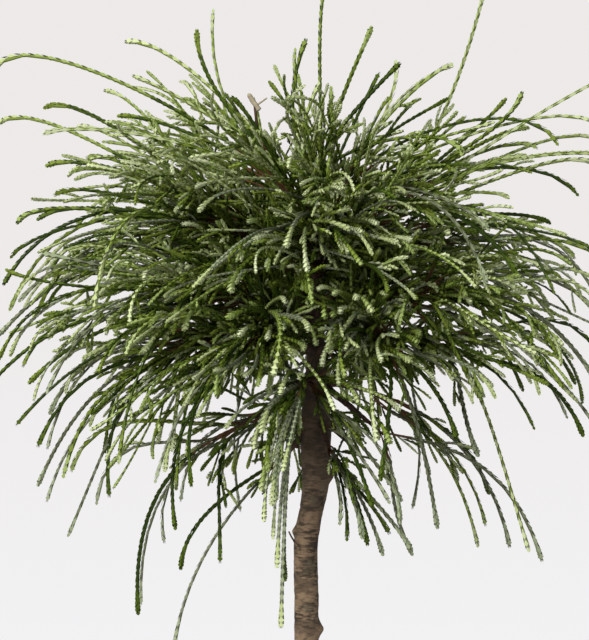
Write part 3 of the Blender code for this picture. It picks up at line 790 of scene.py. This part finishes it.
# Cords in front, whose ends point at the viewer: where the photo shows each to come out, across and
# down in pixels, where it shows the tip, and the tip's depth in metres
frontCords = np.array((
    (223, 172, 199, 211, -0.17), (297, 199, 286, 247, -0.20), (209, 178, 196, 187, -0.15),
    (203, 260, 185, 268, -0.17), (205, 265, 189, 269, -0.15), (209, 266, 199, 282, -0.18),
    (226, 258, 231, 292, -0.20), (275, 227, 254, 239, -0.19), (262, 215, 248, 222, -0.18),
    (284, 284, 285, 303, -0.18), (268, 293, 227, 318, -0.20), (296, 290, 273, 375, -0.22),
    (322, 302, 345, 377, -0.21), (218, 218, 183, 224, -0.14), (358, 182, 383, 196, -0.17),
    (294, 191, 330, 190, -0.18), (328, 217, 361, 264, -0.21), (366, 213, 377, 224, -0.17),
    (350, 226, 362, 232, -0.19), (378, 236, 397, 242, -0.18), (398, 234, 411, 240, -0.17),
    (368, 257, 380, 250, -0.17), (343, 242, 348, 252, -0.19), (347, 272, 372, 311, -0.22),
    (332, 277, 318, 289, -0.21), (346, 282, 333, 294, -0.20), (349, 284, 357, 299, -0.20),
    (374, 283, 385, 295, -0.18), (478, 248, 486, 280, -0.14), (476, 205, 486, 227, -0.12),
    (197, 292, 184, 330, -0.18), (256, 316, 239, 335, -0.20), (273, 318, 267, 339, -0.18),
    (304, 343, 294, 356, -0.19), (310, 337, 303, 350, -0.18), (208, 393, 197, 417, -0.14),
    (206, 372, 193, 379, -0.17), (291, 358, 280, 393, -0.17), (300, 400, 283, 470, -0.16),
    (341, 296, 340, 312, -0.19), (332, 300, 333, 316, -0.19), (362, 299, 371, 312, -0.18),
    (334, 338, 327, 350, -0.20), (354, 328, 345, 349, -0.19), (318, 360, 334, 409, -0.19),
    (363, 345, 376, 440, -0.22), (378, 395, 390, 443, -0.18), (368, 338, 382, 361, -0.20),
    (386, 388, 399, 410, -0.17), (394, 349, 410, 361, -0.18), (404, 329, 417, 342, -0.19),
    (411, 321, 420, 335, -0.18), (120, 257, 92, 302, -0.14), (147, 253, 144, 278, -0.17),
    (179, 303, 175, 316, -0.17), (235, 372, 214, 370, -0.18), (262, 366, 244, 376, -0.19),
    (440, 222, 449, 234, -0.15), (425, 364, 434, 379, -0.15), (462, 290, 471, 302, -0.13),
    (300, 226, 307, 270, -0.21), (350, 375, 358, 402, -0.19), (310, 311, 308, 330, -0.20),
    (130, 300, 108, 322, -0.14), (160, 330, 143, 352, -0.14), (240, 400, 226, 428, -0.15),
    (286, 415, 281, 627, -0.10), (284, 415, 277, 566, -0.11), (278, 418, 273, 538, -0.12),
    (280, 420, 285, 580, -0.09), (268, 415, 264, 520, -0.13), (170, 395, 165, 470, -0.10),
    (180, 400, 176, 490, -0.08), (186, 395, 188, 455, -0.12), (176, 405, 172, 450, -0.06),
    (165, 400, 158, 442, -0.04), (262, 400, 268, 470, -0.14), (270, 405, 262, 490, -0.12),
    (276, 410, 272, 505, -0.15), (258, 395, 254, 448, -0.13),
    (280, 400, 276, 500, -0.08), (266, 385, 262, 432, -0.17), (320, 300, 330, 352, -0.17),
    (325, 320, 322, 366, -0.15), (330, 332, 339, 385, -0.15), (313, 302, 316, 345, -0.14),
    (318, 275, 325, 318, -0.16), (268, 340, 258, 385, -0.16), (276, 352, 268, 392, -0.15),
))


def leave(mass, shares, tips):
    # Roots on the mass's stem, and headings between the stem's own way and the tip
    roots = curve(mass.stemControls, shares)
    ways = heading(mass.stemControls, shares)
    return roots, unit(ways + cord["tipPull"] * unit(tips - roots))


def leaveAnywhere(mass, tips, shares=None):
    # The same for long cords, at random shares where none are given, and with headings that scatter
    if shares is None:
        shares = mass.dice.uniform(*cord["longRoots"], len(tips))
    roots, headings = leave(mass, shares, tips)
    return roots, unit(headings + cord["longScatter"] * mass.dice.normal(size=(len(tips), 3)))


def arrive(mass, level, tips, extra, aside=0.0):
    # The way a cord points at its tip: along its level's surface, extra degrees further down and
    # some radians aside
    reach, azimuth = polar(tips - mass.middle)
    turn = np.arctan(levelSlopes(level, reach, azimuth)[0]) - np.radians(extra)
    way = azimuth + aside
    return np.stack([np.cos(turn) * np.cos(way), np.cos(turn) * np.sin(way), np.sin(turn)], -1)


def bendOver(roots, headings, tips, endings, longer=0.0):
    # Four controls, which lead on from both ends by shares of the distance between them
    first, last = (lead * np.linalg.norm(tips - roots, axis=-1, keepdims=True) for lead in cord["leads"])
    return np.stack([roots, roots + headings * first, tips - endings * (last * (1 + longer)), tips], 1)


def fits(mass, controls, room, first):
    # True for cords that from share first on keep room to the stem and stay within the crown's reach,
    # nearly down to their space's floor
    shares = np.linspace(first, 1, cord["samples"])
    places = curve(controls, np.broadcast_to(shares, (len(controls), len(shares))))
    out = places - mass.middle
    near = np.linalg.norm(out, axis=-1) < crown["radius"] * (mass.far + cord["beyond"])
    floor = levelHeight(np.full(places.shape[:-1], mass.index), *polar(out))
    return (clearOfStem(places, room) & near & (places[..., 2] > floor - cord["below"])).all(axis=1)


def growLongCords(mass):
    # The long cords of this mass: each is of the space above its tip by as much as it hangs, and turns
    # from the level's slope to straight down by the same share
    tips = np.concatenate([longCords[:, :3], placesOf(outlineCords[:, :2], outlineCords[:, 2])])
    hangs = np.concatenate([longCords[:, 3], outlineCords[:, 3]])[:, None]
    own = mass.holds(tips + hangs * (0, 0, cord["hangLift"]), np.full(len(tips), -crown["margin"]))
    tips, hangs = tips[own], hangs[own]
    roots, headings = leaveAnywhere(mass, tips)
    hooked = tips[:, 2:] > cord["hookAbove"]
    headings = unit(headings + np.where(hooked, cord["arch"] * hangs, 0) * (0, 0, 1))
    level = np.full(len(tips), mass.index + 0.5)
    endings = unit(arrive(mass, level, tips, cord["longBend"]) * (1 - hangs) - hangs * (0, 0, 1))
    endings = unit(endings + cord["longStray"] * mass.dice.normal(size=endings.shape))
    longer = np.where(hooked, cord["hookLead"], cord["hangLead"] * hangs)
    return bendOver(roots, headings, tips, endings, longer)


def growReadCords(mass, rows, deeper):
    # The cords of such a list that pass through this mass's space
    places = placesOf(rows[:, :2], rows[:, 4] + deeper)
    own = mass.holds(places, np.full(len(places), -crown["margin"]))
    bends, tips = places[own], placesOf(rows[own, 2:4], rows[own, 4])
    shares = rows[own, 5] if rows.shape[1] > 5 else None
    roots, headings = leaveAnywhere(mass, bends, shares)
    first = cord["leads"][0] * np.linalg.norm(bends - roots, axis=-1, keepdims=True)
    return np.stack([roots, roots + headings * first, bends, tips], 1)


def growCords(mass):
    # Tips by golden steps across and up the space; cords to its edges leave nearer the trunk
    dice = mass.dice
    waiting = np.arange(mass.cords)
    grown = []
    for attempt in range(cord["attempts"]):
        count = len(waiting)
        loose = cord["looseness"] * (1 + attempt)
        aside, level = (
            2 * ((0.5 + waiting * step + loose * dice.uniform(-0.5, 0.5, count)) % 1.0) - 1
            for step in cord["goldenSteps"]
        )
        short = waiting % cord["shortEvery"] == cord["shortEvery"] - 1
        near = np.where(short, cord["shortReach"][0], mass.near)
        far = np.where(short, cord["shortReach"][1], mass.far)
        reach = crown["radius"] * (near + (far - near) * np.sqrt(dice.random(count)))
        turn = cord["tipWidth"] * mass.halfWidth * aside
        rightward = np.maximum(0, np.cos(mass.azimuth + turn))
        tipLevel = 0.5 + cord["tipLevels"] * level + mass.rightHigher * rightward
        tips = mass.atDistance(turn, tipLevel, reach)
        edge = np.maximum(np.abs(aside), np.abs(level))
        share = cord["lastRoot"] - cord["rootSpan"] * edge * dice.uniform(*cord["rootScatter"], count)
        roots, headings = leave(mass, np.where(short, cord["shortRoot"], 1) * share, tips)
        headings = unit(headings + cord["scatter"] * dice.normal(size=(count, 3)))
        stray = cord["stray"] * dice.normal(size=count)
        endings = arrive(mass, mass.index + tipLevel, tips, dice.uniform(*mass.bend, count), stray)
        controls = bendOver(roots, headings, tips, endings)
        good = fits(mass, controls, *cord["clear"])
        grown.append(controls[good & (dice.random(count) >= mass.rightLess * rightward)])
        waiting = waiting[~good]
        if not len(waiting):
            break
    return np.concatenate(grown)


def growSideShoots(mass, controls, habit, perParent):
    # Short shoots off the cords, leaning aside from them and then turning along and down
    dice = mass.dice
    parent = np.repeat(np.arange(len(controls)), perParent)
    count = len(parent)
    shares = dice.uniform(*habit["shares"], (count, 1))
    roots = curve(controls[parent], shares)[:, 0]
    along = heading(controls[parent], shares)[:, 0]
    aside = unit(np.cross(along, dice.normal(size=(count, 3))))
    spread = everyShoot["leanSpread"]
    out, back = (unit(along + lean * aside * dice.uniform(*spread, (count, 1))) for lean in habit["lean"])
    back = unit(back - (0, 0, habit["sag"]))
    length = dice.uniform(*habit["length"], (count, 1)) * (everyShoot["rootLength"] - shares)
    tips = roots + length * unit(out + back)
    made = bendOver(roots, out, tips, back)
    return made[fits(mass, made, *everyShoot["clear"])]


# Cords clothed in scale leaves

leaf = {
    "length": 1.6,
    # Corners as shares: along the leaf's length, across and outwards of the cord's radius
    "corners": ((0, 0, 0.76), (0.66, -0.96, 0.80), (0.66, 0.96, 0.80), (1, 0, 1.14)),
    "triangles": ((0, 2, 3), (0, 3, 1)),
    # Over what length before the cord's smooth tip each corner closes in on it, and how far; both add up
    "closings": ((0.016, (0, 0.1, 0.1, 0.42)), (0.004, (0, 0.12, 0.12, 0.22))),
}
# The core: it has a ring at every fourth whorl, its foot lies a little before the first one, and its point
# some steps past the last
core = {"thickness": 0.80, "sides": 4, "every": 4, "foot": 0.003, "end": 1.4}


def closer(share):
    # The step between whorls from a share of the way, from 0 at the tip, over which it opens out
    return cord["tipPitch"] + (1 - cord["tipPitch"]) * smoothStep(share)


def spaceWhorls(length, pitch):
    # Distances of the whorls from a cord's root, closest at its tip
    last, first = cord["ends"]
    steps = pitch * closer(np.arange(cord["mostWhorls"]) / cord["closeWhorls"])
    fromTip = last + np.concatenate([[0], np.cumsum(steps)])
    return length - fromTip[fromTip < length - first][::-1]


def cordRadius(share, fromTip, radius, swell):
    # Thin and woody at the root, full from a third of the way, thickest just short of the blunt tip
    filled = smoothStep(share / cord["fullBy"])
    swollen = 1 + swell * smoothStep(cord["swellFrom"] - fromTip / cord["tipLength"])
    blunt = cord["blunt"] + (1 - cord["blunt"]) * smoothStep(fromTip / cord["bluntLength"])
    return (cord["rootRadius"] + (radius - cord["rootRadius"]) * filled) * swollen * blunt


def whorlTable(controls, radii, pitches, swells):
    # For every whorl of every cord: which cord, share of its way, distance from its tip, step, radius
    shares = np.linspace(0, 1, cord["measured"])
    lines = curve(controls, np.broadcast_to(shares, (len(controls), len(shares))))
    runs = np.cumsum(np.linalg.norm(np.diff(lines, axis=1), axis=2), axis=1)
    runs = np.concatenate([np.zeros((len(controls), 1)), runs], 1)
    owner, share, fromTip = [], [], []
    for number, run in enumerate(runs):
        places = spaceWhorls(run[-1], pitches[number])
        owner.append(np.full(len(places), number))
        share.append(np.interp(places, run, shares))
        fromTip.append(run[-1] - places)
    owner, share, fromTip = (np.concatenate(part) for part in (owner, share, fromTip))
    step = pitches[owner] * closer(fromTip / cord["closeLength"])
    return owner, share, fromTip, step, cordRadius(share, fromTip, radii[owner], swells[owner])


def whorlFrames(controls, owner, share, dice):
    # Each whorl's centre and three directions: along the cord, square to its cord's own plane, which a
    # trace of chance gives straight cords too, and square to both
    centre = curve(controls[owner], share[:, None])[:, 0]
    along = heading(controls[owner], share[:, None])[:, 0]
    plane = np.cross(controls[:, 1] - controls[:, 0], controls[:, 3] - controls[:, 2])
    plane = unit(plane + cord["planeTrace"] * dice.normal(size=plane.shape))
    side = unit(plane[owner] - along * (plane[owner] * along).sum(-1, keepdims=True))
    return centre, along, side, np.cross(along, side)


def leavesOf(centre, along, side, up, fromTip, step, radius, phase):
    # Two leaves face each other at each whorl, and each whorl is turned a quarter from the last
    turn = phase[:, None] + np.array([0, math.pi])
    closing = sum(
        (1 - smoothStep(fromTip / span))[:, None] * np.array(most) for span, most in leaf["closings"]
    )
    out = np.cos(turn)[..., None] * side[:, None] + np.sin(turn)[..., None] * up[:, None]
    across = np.cross(along[:, None], out)
    lengthways, sideways, outwards = np.array(leaf["corners"]).T
    long = (leaf["length"] * step)[:, None, None, None] * lengthways[:, None]
    wide = radius[:, None, None, None] * sideways[:, None]
    high = (radius[:, None] * outwards * (1 - closing))[:, None, :, None]
    points = centre[:, None, None] + long * along[:, None, None]
    points = points + wide * across[:, :, None] + high * out[:, :, None]
    first = len(leaf["corners"]) * np.arange(2 * len(centre))[:, None, None]
    triangles = first + np.array(leaf["triangles"])
    return points.reshape(-1, 3), triangles.reshape(-1, 3)


def coresOf(owner, centre, along, side, up, step, radius):
    # A square core through some whorls of each cord, closed at both ends, and each triangle's whorl
    number = np.arange(len(owner)) - np.searchsorted(owner, owner)
    last = np.append(owner[1:] != owner[:-1], True)
    keep = np.flatnonzero((number % core["every"] == 0) | last)
    sides = core["sides"]
    turns = np.linspace(0, 2 * math.pi, sides, endpoint=False)
    out = np.cos(turns)[:, None] * side[keep][:, None] + np.sin(turns)[:, None] * up[keep][:, None]
    thick = core["thickness"] * radius[keep]
    rings = centre[keep][:, None] + thick[:, None, None] * out
    begins = np.append(True, owner[keep][1:] != owner[keep][:-1])
    ends = np.append(begins[1:], True)
    tips = centre[keep][ends] + along[keep][ends] * core["end"] * step[keep][ends][:, None]
    feet = centre[keep][begins] - along[keep][begins] * core["foot"]
    points = np.concatenate([rings.reshape(-1, 3), tips, feet])
    low = np.flatnonzero(~ends)
    column = np.arange(sides)
    after = (column + 1) % sides
    a, b = low[:, None] * sides + column, low[:, None] * sides + after
    walls = [np.stack([a, b, b + sides], -1), np.stack([a, b + sides, a + sides], -1)]
    ring = np.flatnonzero(ends)[:, None] * sides
    point = (len(keep) * sides + np.arange(ends.sum()))[:, None] + 0 * column
    walls.append(np.stack([ring + column, ring + after, point], -1))
    ring = np.flatnonzero(begins)[:, None] * sides
    point = point + ends.sum()
    walls.append(np.stack([ring + after, ring + column, point], -1))
    parts = (low, low, np.flatnonzero(ends), np.flatnonzero(begins))
    whorls = np.concatenate([np.repeat(keep[part], sides) for part in parts])
    return points, np.concatenate([wall.reshape(-1, 3) for wall in walls]), whorls


# Colours, dealt out cord by cord: each takes one green by where it grows, lighter further out and higher up
# and darker further in and lower down as painted light and shade, a lighter one at its tip, a darker one in
# its inner part as painted shade, and brown where a main cord's root is woody. The core between the scales
# is darker, as painted shade

# From deep to pale, greens of one hue dealt out by a tone that is partly painted light and shade; the shaded
# greys are painted shade on grey cords
greens = {
    "brown": (0.062, 0.031, 0.014),
    "deep": (0.016, 0.029, 0.003),
    "dark": (0.036, 0.058, 0.005),
    "dusk": (0.054, 0.062, 0.032),
    "slate": (0.092, 0.106, 0.064),
    "olive": (0.084, 0.116, 0.016),
    "grass": (0.138, 0.180, 0.052),
    "grey": (0.150, 0.176, 0.106),
    "fresh": (0.208, 0.246, 0.110),
    "pale": (0.260, 0.296, 0.158),
    "tip": (0.286, 0.320, 0.190),
}
greenNames = list(greens)
# For each green of a cord's scales, the greens of the core between them, which is darker as painted shade,
# of its last scales and of its inner part, which is darker as painted shade
besideGreens = {
    "brown": ("brown", "brown", "brown"),
    "deep": ("deep", "dark", "deep"),
    "dark": ("deep", "olive", "deep"),
    "dusk": ("dusk", "slate", "dusk"),
    "slate": ("dusk", "grey", "dusk"),
    "olive": ("dark", "grass", "dark"),
    "grass": ("olive", "fresh", "dark"),
    "grey": ("slate", "fresh", "slate"),
    "fresh": ("olive", "pale", "olive"),
    "pale": ("grass", "tip", "olive"),
    "tip": ("fresh", "tip", "grass"),
}
shades = {
    # Tone: painted light and shade by how far out and how high a cord's tip lies, shuffled at random, and
    # cut into greens
    "outward": 0.72,
    "upward": 0.24,
    "shuffle": 0.22,
    "steps": (0.20, 0.44, 0.60, 0.77, 0.96),
    "names": ("deep", "dark", "olive", "grass", "fresh", "pale"),
    # Dull cords, the shaded grey, which is painted shade, where they carry painted shade and grey elsewhere:
    # their shares, which fall upwards
    "shadedGreyShare": 0.40,
    "greyShare": 0.24,
    "greyFall": 1.8,
    # How far from the tip scales are lighter, and how far once more as painted light on cords with painted
    # light; and how far from the tip the core keeps the scales' green, without its painted shade
    "tipAndPaintedLightLengths": (0.024, 0.008),
    "lightCore": 0.024,
    # Up to which share of its way a cord is darker, as painted shade inside the crown, and a main cord brown
    "paintedShadeShare": 0.42,
    "woodyShare": 0.20,
    "roughness": 0.55,
    "gloss": 0.07,
}


def dealGreens(mass, controls, paintedTone, dice):
    # Further out and higher up is lighter, as painted light and shade: a tone from both and from the cord's
    # painted tone, shuffled, then cut into steps. Lower down more cords are dull, and those with painted
    # shade take the shaded grey
    out = np.linalg.norm(controls[:, 3] - mass.middle, axis=1) / crown["radius"]
    rise = (controls[:, 3, 2] - crown["height"]) / crown["radius"]
    tone = shades["outward"] * out + shades["upward"] * rise + paintedTone
    tone = tone + shades["shuffle"] * dice.normal(size=len(controls))
    chosen = np.array(shades["names"])[np.searchsorted(shades["steps"], tone)]
    dullShare = np.where(paintedTone < 0, shades["shadedGreyShare"], shades["greyShare"])
    dull = dice.random(len(controls)) < dullShare * (1 - shades["greyFall"] * rise)
    names = np.where(dull & (chosen != "deep"), np.where(paintedTone < 0, "slate", "grey"), chosen)
    return np.array([greenNames.index(name) for name in names])


def besideGreen(numbers, which):
    # The greens that go with these: of their cores, of their last scales, or of their inner parts
    table = [greenNames.index(besideGreens[name][which]) for name in greenNames]
    return np.array(table)[numbers]


def makeGreens():
    values = {"Roughness": shades["roughness"], "Specular IOR Level": shades["gloss"]}
    return [
        surface(name + "Scale", {"Base Color": (*colour, 1), **values}).owner
        for name, colour in greens.items()
    ]


def growMass(mass):
    # All the shoots of a mass: their controls, and for each its radius, pitch, swelling, painted light and
    # shade in its tone and the share of it that is woody
    dice = mass.dice
    outline = np.concatenate([growLongCords(mass), growReadCords(mass, passingCords, 0)])
    longer = np.concatenate([outline, growReadCords(mass, frontCords, cord["frontDeeper"])])
    nearby = growSideShoots(mass, mass.limb[None], inner, mass.inner)
    cords = np.concatenate([growCords(mass), nearby])
    sides = growSideShoots(mass, cords, shoot, mass.shoots)
    sides = np.concatenate([sides, growSideShoots(mass, longer, longShoot, everyShoot["perLongCord"])])
    twigs = growSideShoots(mass, sides, twig, everyShoot["perShoot"])
    cords = np.concatenate([longer, cords])
    everyCord = np.concatenate([cords, sides, twigs])
    radii = dice.uniform(*cord["radius"], len(everyCord))
    radii[len(cords):] *= everyShoot["thinner"]
    radii[:len(outline)] *= cord["longStouter"]
    radii[len(outline):len(longer)] *= cord["frontStouter"]
    pitches = dice.uniform(*cord["pitch"], len(everyCord))
    pitches[:len(outline)] = cord["longPitch"]
    swells = np.full(len(everyCord), cord["tipSwell"])
    swells[len(outline):len(longer)] = cord["frontSwell"]
    # Painted tone: painted shade on the outline's cords, painted light on those in front, and little of
    # either where they hang low
    paintedTone = np.zeros(len(everyCord))
    paintedTone[:len(outline)] = cord["outlinePaintedShade"]
    paintedTone[len(outline):len(longer)] = cord["frontPaintedLight"]
    hanging = np.repeat(cord["hangingPaintedTone"], (len(outline), len(longer) - len(outline)))
    paintedTone[:len(longer)] = np.where(longer[:, 3, 2] < cord["hangingBelow"], hanging, paintedTone[:len(longer)])
    woody = np.where(np.arange(len(everyCord)) < len(cords), shades["woodyShare"], 0)
    return everyCord, radii, pitches, swells, paintedTone, woody


# The stems inside the masses
innerStem = {"radii": (0.0025, 0.0009), "rings": 24, "sides": 10, "relief": 0.10}


def makeFoliage(masses, greenFinishes, woodFinish):
    # One piece of leaves and one of cords for each tier, and one of all the masses' stems
    brown = greenNames.index("brown")
    whole, last = shades["tipAndPaintedLightLengths"]
    stemShares = np.linspace(0, 1, innerStem["rings"])
    stemRadii = np.linspace(*innerStem["radii"], innerStem["rings"])
    stems = []
    for tierIndex, tier in enumerate(tiers):
        own = [mass for mass in masses if mass.index == tierIndex]
        grown = {"Leaves": [], "Cords": []}
        dealt = {"Leaves": [], "Cords": []}
        for mass in own:
            controls, radii, pitches, swells, paintedTone, woody = growMass(mass)
            green = dealGreens(mass, controls, paintedTone, mass.dice)
            owner, share, fromTip, step, radius = whorlTable(controls, radii, pitches, swells)
            centre, along, side, up = whorlFrames(controls, owner, share, mass.dice)
            phase = mass.dice.uniform(0, math.pi, len(controls))[owner]
            phase = phase + math.pi / 2 * (np.arange(len(owner)) % 2)
            grown["Leaves"].append(leavesOf(centre, along, side, up, fromTip, step, radius, phase))
            # The inner part of each cord takes a darker green as painted shade; a main cord's woody root is
            # brown
            shade = np.where(share < shades["paintedShadeShare"], besideGreen(green, 2)[owner], green[owner])
            shade = np.where(share < woody[owner], brown, shade)
            shade = np.where(fromTip < whole, besideGreen(shade, 1), shade)
            # Painted light: the last scales of cords with painted light are lighter once more
            shade = np.where((fromTip < last) & (paintedTone[owner] > 0), besideGreen(shade, 1), shade)
            dealt["Leaves"].append(np.repeat(shade, 2 * len(leaf["triangles"])))
            points, triangles, whorls = coresOf(owner, centre, along, side, up, step, radius)
            grown["Cords"].append((points, triangles))
            # The core between the scales is darker as painted shade, except near the tip
            nearTip = fromTip[whorls] < shades["lightCore"]
            dealt["Cords"].append(np.where(nearTip, shade[whorls], besideGreen(shade[whorls], 0)))
            stems.append(tube(mass.stemControls, stemShares, stemRadii, innerStem, mass.index))
        for kind, parts in grown.items():
            finishOf = np.concatenate(dealt[kind])
            piece = makePiece(tier["name"] + kind, *joinParts(parts), greenFinishes, finishOf)
            dress(piece, [mass.node for mass in own])
    piece = makePiece("innerStems", *joinParts(stems), [woodFinish])
    dress(piece, [mass.node for mass in masses])


# Boughs, the dead twig, and a pruned stub with the end of its own small twig

bough = {
    # The most that its radius may be at the root: outright, and as shares of the trunk's radius there and
    # of what its own sector of the trunk leaves it
    "rootRadius": 0.0044,
    "ofTrunk": 0.72,
    "ofSector": 0.9,
    "tipRadius": 0.0025,
    # How deep in the trunk its foot lies, as a share of the radius, and the swelling where it comes out
    "foot": 0.5,
    "collar": 0.35,
    "collarSpread": 0.003,
    "rings": 30,
    "sides": 14,
    "relief": 0.14,
}
spur = {
    "foot": (-0.001, -0.004, 0.432),
    "tip": (-0.0145, -0.017, 0.452),
    "radii": (0.0013, 0.0006),
    "sag": 0.002,
    "rings": 16,
    "sides": 10,
    "relief": 0.2,
    "seed": 9,
}
# Each stretch of the stub: where the photo shows its two ends, in pixels, and its radii. The first one
# grows out of its carrier's stem, at a share of that stem's way
stub = {
    "depth": -0.02,
    "carrier": "top_foliage_2",
    "rootShare": 0.55,
    "rings": 22,
    "sides": 12,
    "relief": 0.12,
    "stretches": (
        ((262, 176), (255, 106), (0.0014, 0.0012)),
        ((259, 110), (249, 95), (0.0021, 0.0020)),
        ((257, 105), (267, 98), (0.0008, 0.0006)),
    ),
}


def makeBoughs(masses, finish):
    parts = []
    for mass in masses:
        if mass.boughNode is None:
            continue
        wood = float(stemRadius(mass.limb[0][2]))
        sector = wood * math.sin(mass.halfWidth)
        root = min(bough["rootRadius"], bough["ofTrunk"] * wood, bough["ofSector"] * sector)
        shares = np.linspace(bough["foot"] * wood / crown["stemReach"], mass.split, bough["rings"])
        radii = np.linspace(root, bough["tipRadius"], bough["rings"])
        away = np.linalg.norm(curve(mass.limb, shares) - mass.limb[0], axis=1)
        collar = np.exp(-(((away - wood) / bough["collarSpread"]) ** 2))
        parts.append(tube(mass.limb, shares, radii * (1 + bough["collar"] * collar), bough, mass.index))
    nodes = [mass.boughNode for mass in masses if mass.boughNode]
    dress(makePiece("boughBark", *joinParts(parts), [finish]), nodes)


def makeSpur(finish):
    foot, tip = np.array(spur["foot"]), np.array(spur["tip"])
    controls = np.stack([foot, (foot + tip) / 2 - (0, 0, 2 * spur["sag"]), tip])
    shares, radii = np.linspace(0, 1, spur["rings"]), np.linspace(*spur["radii"], spur["rings"])
    points, triangles = tube(controls, shares, radii, spur, spur["seed"])
    dress(makePiece("deadTwig", points, triangles, [finish]), ["spur"])


def makeStub(finishes, masses):
    # The first stretch bends at its lower end, on its way from the carrier; the others are straight
    carrier = next(mass for mass in masses if mass.node == stub["carrier"])
    root = curve(carrier.stemControls, np.array([stub["rootShare"]]))[0]
    shares = np.linspace(0, 1, stub["rings"])
    parts = []
    for foot, tip, radii in stub["stretches"]:
        low, high = placesOf(np.array((foot, tip)), np.full(2, stub["depth"]))
        controls = np.stack([low, (low + high) / 2, high] if parts else [root, low, low, high])
        parts.append(tube(controls, shares, np.linspace(*radii, stub["rings"]), stub, len(parts)))
    finishOf = np.repeat((0, 1, 1), [len(triangles) for _, triangles in parts])
    piece = makePiece("prunedStub", *joinParts(parts), finishes, finishOf)
    dress(piece, [stub["carrier"]])


# Bark finishes

barkLook = {
    # Noises: how many times faster each changes upwards than across, its scale and its detail
    "noises": {
        "wrinkle": (4, 150, 4),
        "patch": (1.5, 65, 3),
        "split": (7, 230, 3),
        "blot": (2, 48, 3),
        "cover": (1, 75, 4),
    },
    "noiseRoughness": 0.55,
    # Ridges stand out from cracks over this span of a tone made of these shares of the noises
    "toneShares": {"wrinkle": 0.5, "patch": 0.5},
    "toneSpan": (0.42, 0.57),
    # More cracks: by which noise, over which span of it, and how far at most
    "cracks": (("split", (0.58, 0.72), 0.6), ("blot", (0.53, 0.64), 0.6)),
    "lichenSpan": (0.56, 0.66),
    # Between these heights painted shade under the crown sets in, and how far at most it darkens the bark
    # towards its crack colour
    "paintedShadeHeights": (0.43, 0.54),
    "paintedShadeMost": 0.78,
    "reliefShares": {"wrinkle": 0.6, "split": 0.5, "patch": 0.4},
    "bumpStrength": 0.9,
    "bumpDistance": 0.0006,
    "roughness": 0.88,
    "gloss": 0.2,
}
# For each bark, the colours of its ridges, its cracks, which also colour the painted shade under the crown,
# and its lichen, and how far the lichen covers it
barkColours = {
    "stemBark": ((0.104, 0.071, 0.044), (0.019, 0.013, 0.008), (0.092, 0.082, 0.052), 0.25),
    "boughBark": ((0.085, 0.042, 0.025), (0.014, 0.008, 0.005), (0.070, 0.056, 0.035), 0.2),
    "stubWood": ((0.27, 0.245, 0.17), (0.16, 0.14, 0.095), (0.25, 0.245, 0.19), 0.3),
}


def makeBark(name, ridge, crackAndShade, lichen, lichenShare):
    # Wrinkles run round the stem: noise squeezed along it, with cracks, patches and lichen over it, and
    # painted shade under the crown darkening all of it
    finish = surface(name, {"Roughness": barkLook["roughness"], "Specular IOR Level": barkLook["gloss"]})
    ridge, crackAndShade, lichen = ((*colour, 1) for colour in (ridge, crackAndShade, lichen))
    noises = {
        kind: finish.noise(*habit, barkLook["noiseRoughness"]) for kind, habit in barkLook["noises"].items()
    }
    tone, relief = (
        sum(noises[kind] * share for kind, share in barkLook[shares].items())
        for shares in ("toneShares", "reliefShares")
    )
    colour = finish.mix(tone.clamped(*barkLook["toneSpan"]), crackAndShade, ridge)
    for kind, span, most in barkLook["cracks"]:
        colour = finish.mix(noises[kind].clamped(*span) * most, colour, crackAndShade)
    colour = finish.mix(noises["cover"].clamped(*barkLook["lichenSpan"]) * lichenShare, colour, lichen)
    # Painted shade under the crown: higher up, the bark is mixed towards the crack colour
    height = finish.node("ShaderNodeSeparateXYZ", {}, {"Vector": finish.place()}, out=2)
    shade = height.clamped(*barkLook["paintedShadeHeights"]) * barkLook["paintedShadeMost"]
    colour = finish.mix(shade, colour, crackAndShade)
    strength, distance = barkLook["bumpStrength"], barkLook["bumpDistance"]
    bump = finish.node("ShaderNodeBump", {}, {"Strength": strength, "Distance": distance, "Height": relief})
    finish.feed(finish.tree.nodes["Principled BSDF"], {"Base Color": colour, "Normal": bump})
    return finish.owner


bpy.context.scene.view_settings.view_transform = "Standard"
makeCamera()
makeSky()
makeFloor()
makeLamp("key", studio["key"])
makeLamp("fill", studio["fill"])
print("stage, light and camera are set")

stemFinish, boughFinish, stubFinish = (makeBark(name, *values) for name, values in barkColours.items())
makeStem(stemFinish)
makeSpur(stemFinish)
allMasses = [Mass(index, number) for index, tier in enumerate(tiers) for number in range(tier["masses"])]
makeBoughs(allMasses, boughFinish)
makeStub([boughFinish, stubFinish], allMasses)
print("stem and boughs are made")
makeFoliage(allMasses, makeGreens(), boughFinish)
print("foliage is made")
